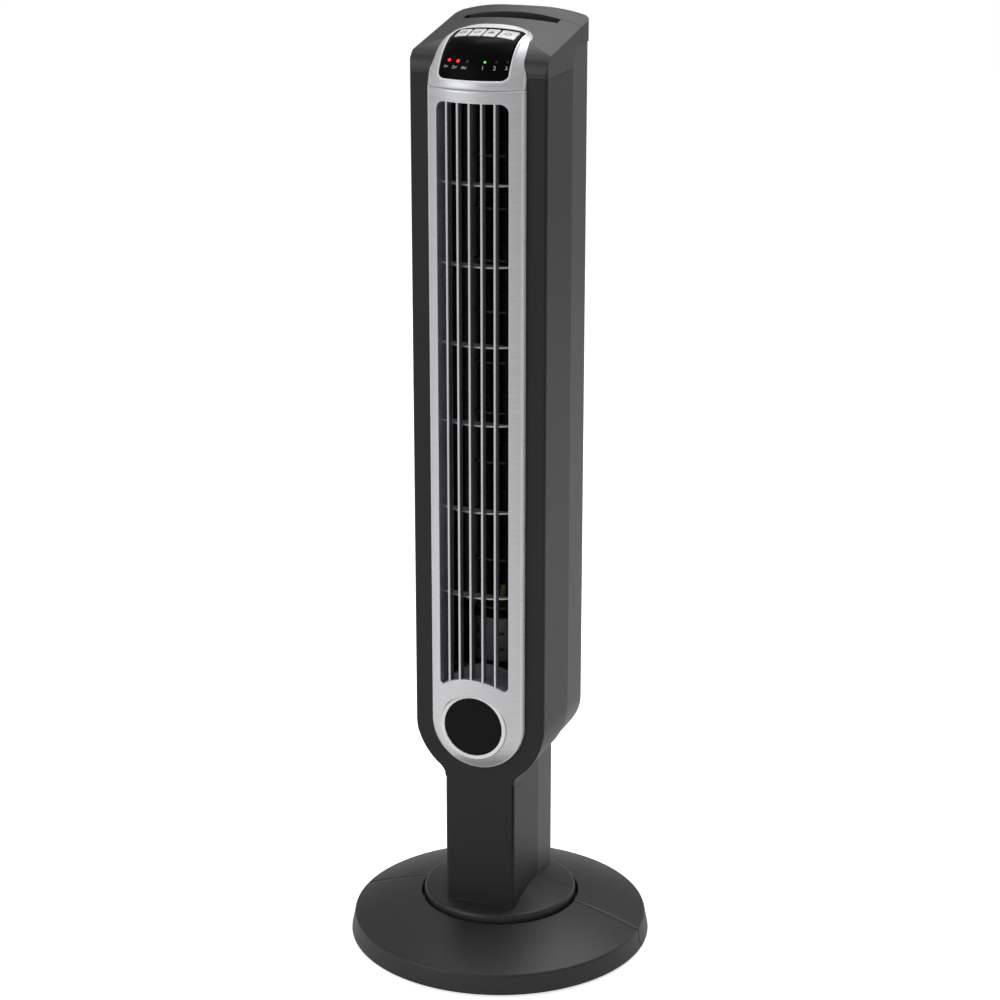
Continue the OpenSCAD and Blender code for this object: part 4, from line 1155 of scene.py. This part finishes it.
def foot_profile():
    """Closed outline of the turned skin in (radius, height), from the neck out over the rim and back."""
    low, rim, edge, slope, peak, inner, skin = 34.0, 75.5, 4.5, 0.27, 68.2, 34.0, 1.9
    centre_r = rim - edge
    centre_z = peak - slope * centre_r - edge * math.sqrt(1 + slope * slope)
    lean = math.atan2(1, slope)
    cone = [inner + (centre_r - inner) * k / 12 for k in range(12)]
    points = [(r, peak - slope * r) for r in cone]
    for k in range(9):
        turn = lean * (1 - k / 8)
        points.append((centre_r + edge * math.cos(turn), centre_z + edge * math.sin(turn)))
    points += [(rim, low + 4), (rim, low + 0.5), (rim - 0.5, low), (rim - skin, low), (rim - skin, centre_z)]
    points += [(r, peak - slope * r - skin) for r in (centre_r, inner)]
    return [Vector((r + 0.10, z + 0.12)) for r, z in points]


def turntable_foot():
    """Turned skin of the foot's cone over both casings, parted where they meet."""
    profile = foot_profile()
    seam, eased = (drawn_in(profile, 0.22), 0.15), (profile, 0.4)
    for name, side, slot in (("foot_front", -1, "front_plastic"), ("foot_rear", 1, "rear_plastic")):

        def cut(outline, gap, way):
            y = SPLIT + side * gap
            return [(way * math.sqrt(p.x ** 2 - y * y), y, p.y) for p in outline]

        loops = [cut(*seam, 1), cut(*eased, 1)]
        begins = [math.asin((SPLIT + side * eased[1]) / p.x) for p in profile]
        for k in range(1, 100):
            ring = []
            for p, begin in zip(profile, begins):
                turn = begin + side * (math.pi - side * 2 * begin) * k / 100
                ring.append((p.x * math.cos(turn), p.x * math.sin(turn), p.y))
            loops.append(ring)
        loops += [cut(*eased, -1), cut(*seam, -1)]
        add_piece(name, solid_mesh(name, loops, 38), FOOT_PLASTIC, body="tower", slot=slot)


turntable_foot()


def base_profile():
    """Closed outline of the base's wall in (radius, height), from the well's foot over the dome."""
    rim_r, rim_lean, crest, dome, wall, well = 149.2, 0.1875, 3.0, 390.0, 2.6, 78.5
    centre_z = 41.1 - math.sqrt(dome ** 2 - 80 ** 2)
    slope = math.sqrt(1 + rim_lean ** 2)
    edge = rim_r + rim_lean * 2 - crest * slope
    qa = 1 + rim_lean ** 2
    qb = -2 * (edge * rim_lean + centre_z)
    qc = edge ** 2 + centre_z ** 2 - (dome - crest) ** 2
    crest_z = (-qb + math.sqrt(qb * qb - 4 * qa * qc)) / (2 * qa)
    crest_r = edge - rim_lean * crest_z
    top_turn = math.atan2(crest_z - centre_z, crest_r)
    side_turn = math.atan2(rim_lean, 1)
    dome_at = lambda r, inset: centre_z + math.sqrt((dome - inset) ** 2 - r * r)
    tip = crest_r + crest * math.cos(top_turn)
    points = [(well, 33.5), (well, 36.5), (well, dome_at(well, 0) - 0.8)]
    points += [(well + 0.24, dome_at(well, 0) - 0.24), (well + 0.9, dome_at(well + 0.9, 0))]
    points += [(r, dome_at(r, 0)) for r in [well + 1.6 + (tip - well - 1.8) * k / 24 for k in range(25)]]
    for k in range(9):
        turn = top_turn + (side_turn - top_turn) * k / 8
        points.append((crest_r + crest * math.cos(turn), crest_z + crest * math.sin(turn)))
    side_r, side_z = points[-1]
    points += [(side_r + (rim_r - side_r) * k / 5, side_z + (2.6 - side_z) * k / 5) for k in range(1, 6)]
    points += [(rim_r - 0.1, 2.15), (rim_r - 0.6, 2.0), (rim_r - wall, 2.0)]
    inner_r = crest_r - 1.5
    points += [(inner_r, dome_at(inner_r, wall) - 0.5)]
    under = inner_r - 2
    points += [(r, dome_at(r, wall)) for r in [under - (under - well - wall) * k / 12 for k in range(13)]]
    return [Vector(p) for p in points] + [Vector((well + wall, 33.5))]


def base_half(node, side):
    """Half of the dished base: a turned wall with eased seam ends, and bosses for the feet below."""
    seam_gap, ease, foot_ring, feet = 0.42, 0.95, 132.7, 6
    profile = base_profile()
    cuts = [(drawn_in(profile, 0.4), seam_gap), (profile, ease)]
    loops = [[(math.sqrt(p.x ** 2 - y * y), y, p.y) for p in points] for points, y in cuts]
    for k in range(1, 90):
        turn = math.radians(2 * k)
        loops.append([(p.x * math.cos(turn), p.x * math.sin(turn), p.y) for p in profile])
    loops += [[(-math.sqrt(p.x ** 2 - y * y), y, p.y) for p in points] for points, y in reversed(cuts)]
    work = bmesh.new()
    add_solid(work, [[(x, side * y, z) for x, y, z in loop] for loop in loops])
    for k in range(feet):
        turn = math.radians(30 + 60 * k)
        x, y = foot_ring * math.cos(turn), foot_ring * math.sin(turn)
        if y * side > 0:
            boss = ((3, 4.2), (8.6, 4.2), (9.3, 4.9), (9.3, 20.5), (3, 20.5))
            add_solid(work, turned_z(boss, 32, x, y), closed_through=True)
    add_piece(node + "_dish", close_mesh(node + "_dish", work, 38), BASE_PLASTIC, (node,))


base_half("base_front", -1)
base_half("base_rear", 1)

# ---- studio ------------------------------------------------------------------------------------


def studio():
    """Soft lights, and a pale floor and surround that the camera sees brighter than they shine."""
    white, floor_glow, sky_light, sky_seen = (1, 1, 1, 1), 0.72, 0.3, 1.0
    bpy.ops.mesh.primitive_plane_add(size=14, location=(0, 3, -0.0005))
    floor = bpy.context.object
    floor.name = "floor"
    finish, tree, shader = new_material("floor_pale", (0.93, 0.93, 0.93), 0.8)
    shader.inputs["Specular IOR Level"].default_value = 0.1
    shader.inputs["Emission Color"].default_value = white
    ray = add_node(tree, "ShaderNodeLightPath")
    glow = math_node(tree, "MULTIPLY", ray.outputs["Is Camera Ray"], floor_glow)
    tree.links.new(glow, shader.inputs["Emission Strength"])
    paint(floor, finish)
    world = bpy.data.worlds.new("studio_sky")
    world.use_nodes = True
    sky = world.node_tree
    lighting = sky.nodes["Background"]
    lighting.inputs["Color"].default_value = white
    lighting.inputs["Strength"].default_value = sky_light
    seen = add_node(sky, "ShaderNodeBackground", {"Color": white, "Strength": sky_seen})
    ray = add_node(sky, "ShaderNodeLightPath")
    pick = add_node(sky, "ShaderNodeMixShader", {
        0: ray.outputs["Is Camera Ray"], 1: lighting.outputs[0], 2: seen.outputs[0]})
    sky.links.new(pick.outputs[0], sky.nodes["World Output"].inputs["Surface"])
    bpy.context.scene.world = world
    for name, place, aim, size, power in (
        ("key_soft", (-1.8, -2.4, 1.9), (0, 0, 0.4), 2.6, 37),
        ("side_soft", (1.7, 2.1, 1.2), (0, 0, 0.45), 1.6, 7),
        ("top_soft", (0.1, 0.9, 2.9), (0, 0, 0.5), 2.2, 46),
    ):
        data = bpy.data.lights.new(name, "AREA")
        data.size = size
        data.energy = power
        light = link_object(name, data)
        light.location = place
        light.rotation_euler = (Vector(aim) - Vector(place)).to_track_quat("-Z", "Y").to_euler()
    bpy.context.scene.view_settings.view_transform = "Standard"


def camera():
    """The viewing angle: a little right of the front and a little above."""
    data = bpy.data.cameras.new("camera")
    data.lens = 92.74
    data.sensor_width = 36
    data.clip_end = 50
    eye = link_object("camera", data)
    eye.location = (0.82696, -2.19697, 1.21077)
    eye.rotation_euler = (math.radians(72.081), 0, math.radians(20.627))
    bpy.context.scene.camera = eye


studio()
camera()
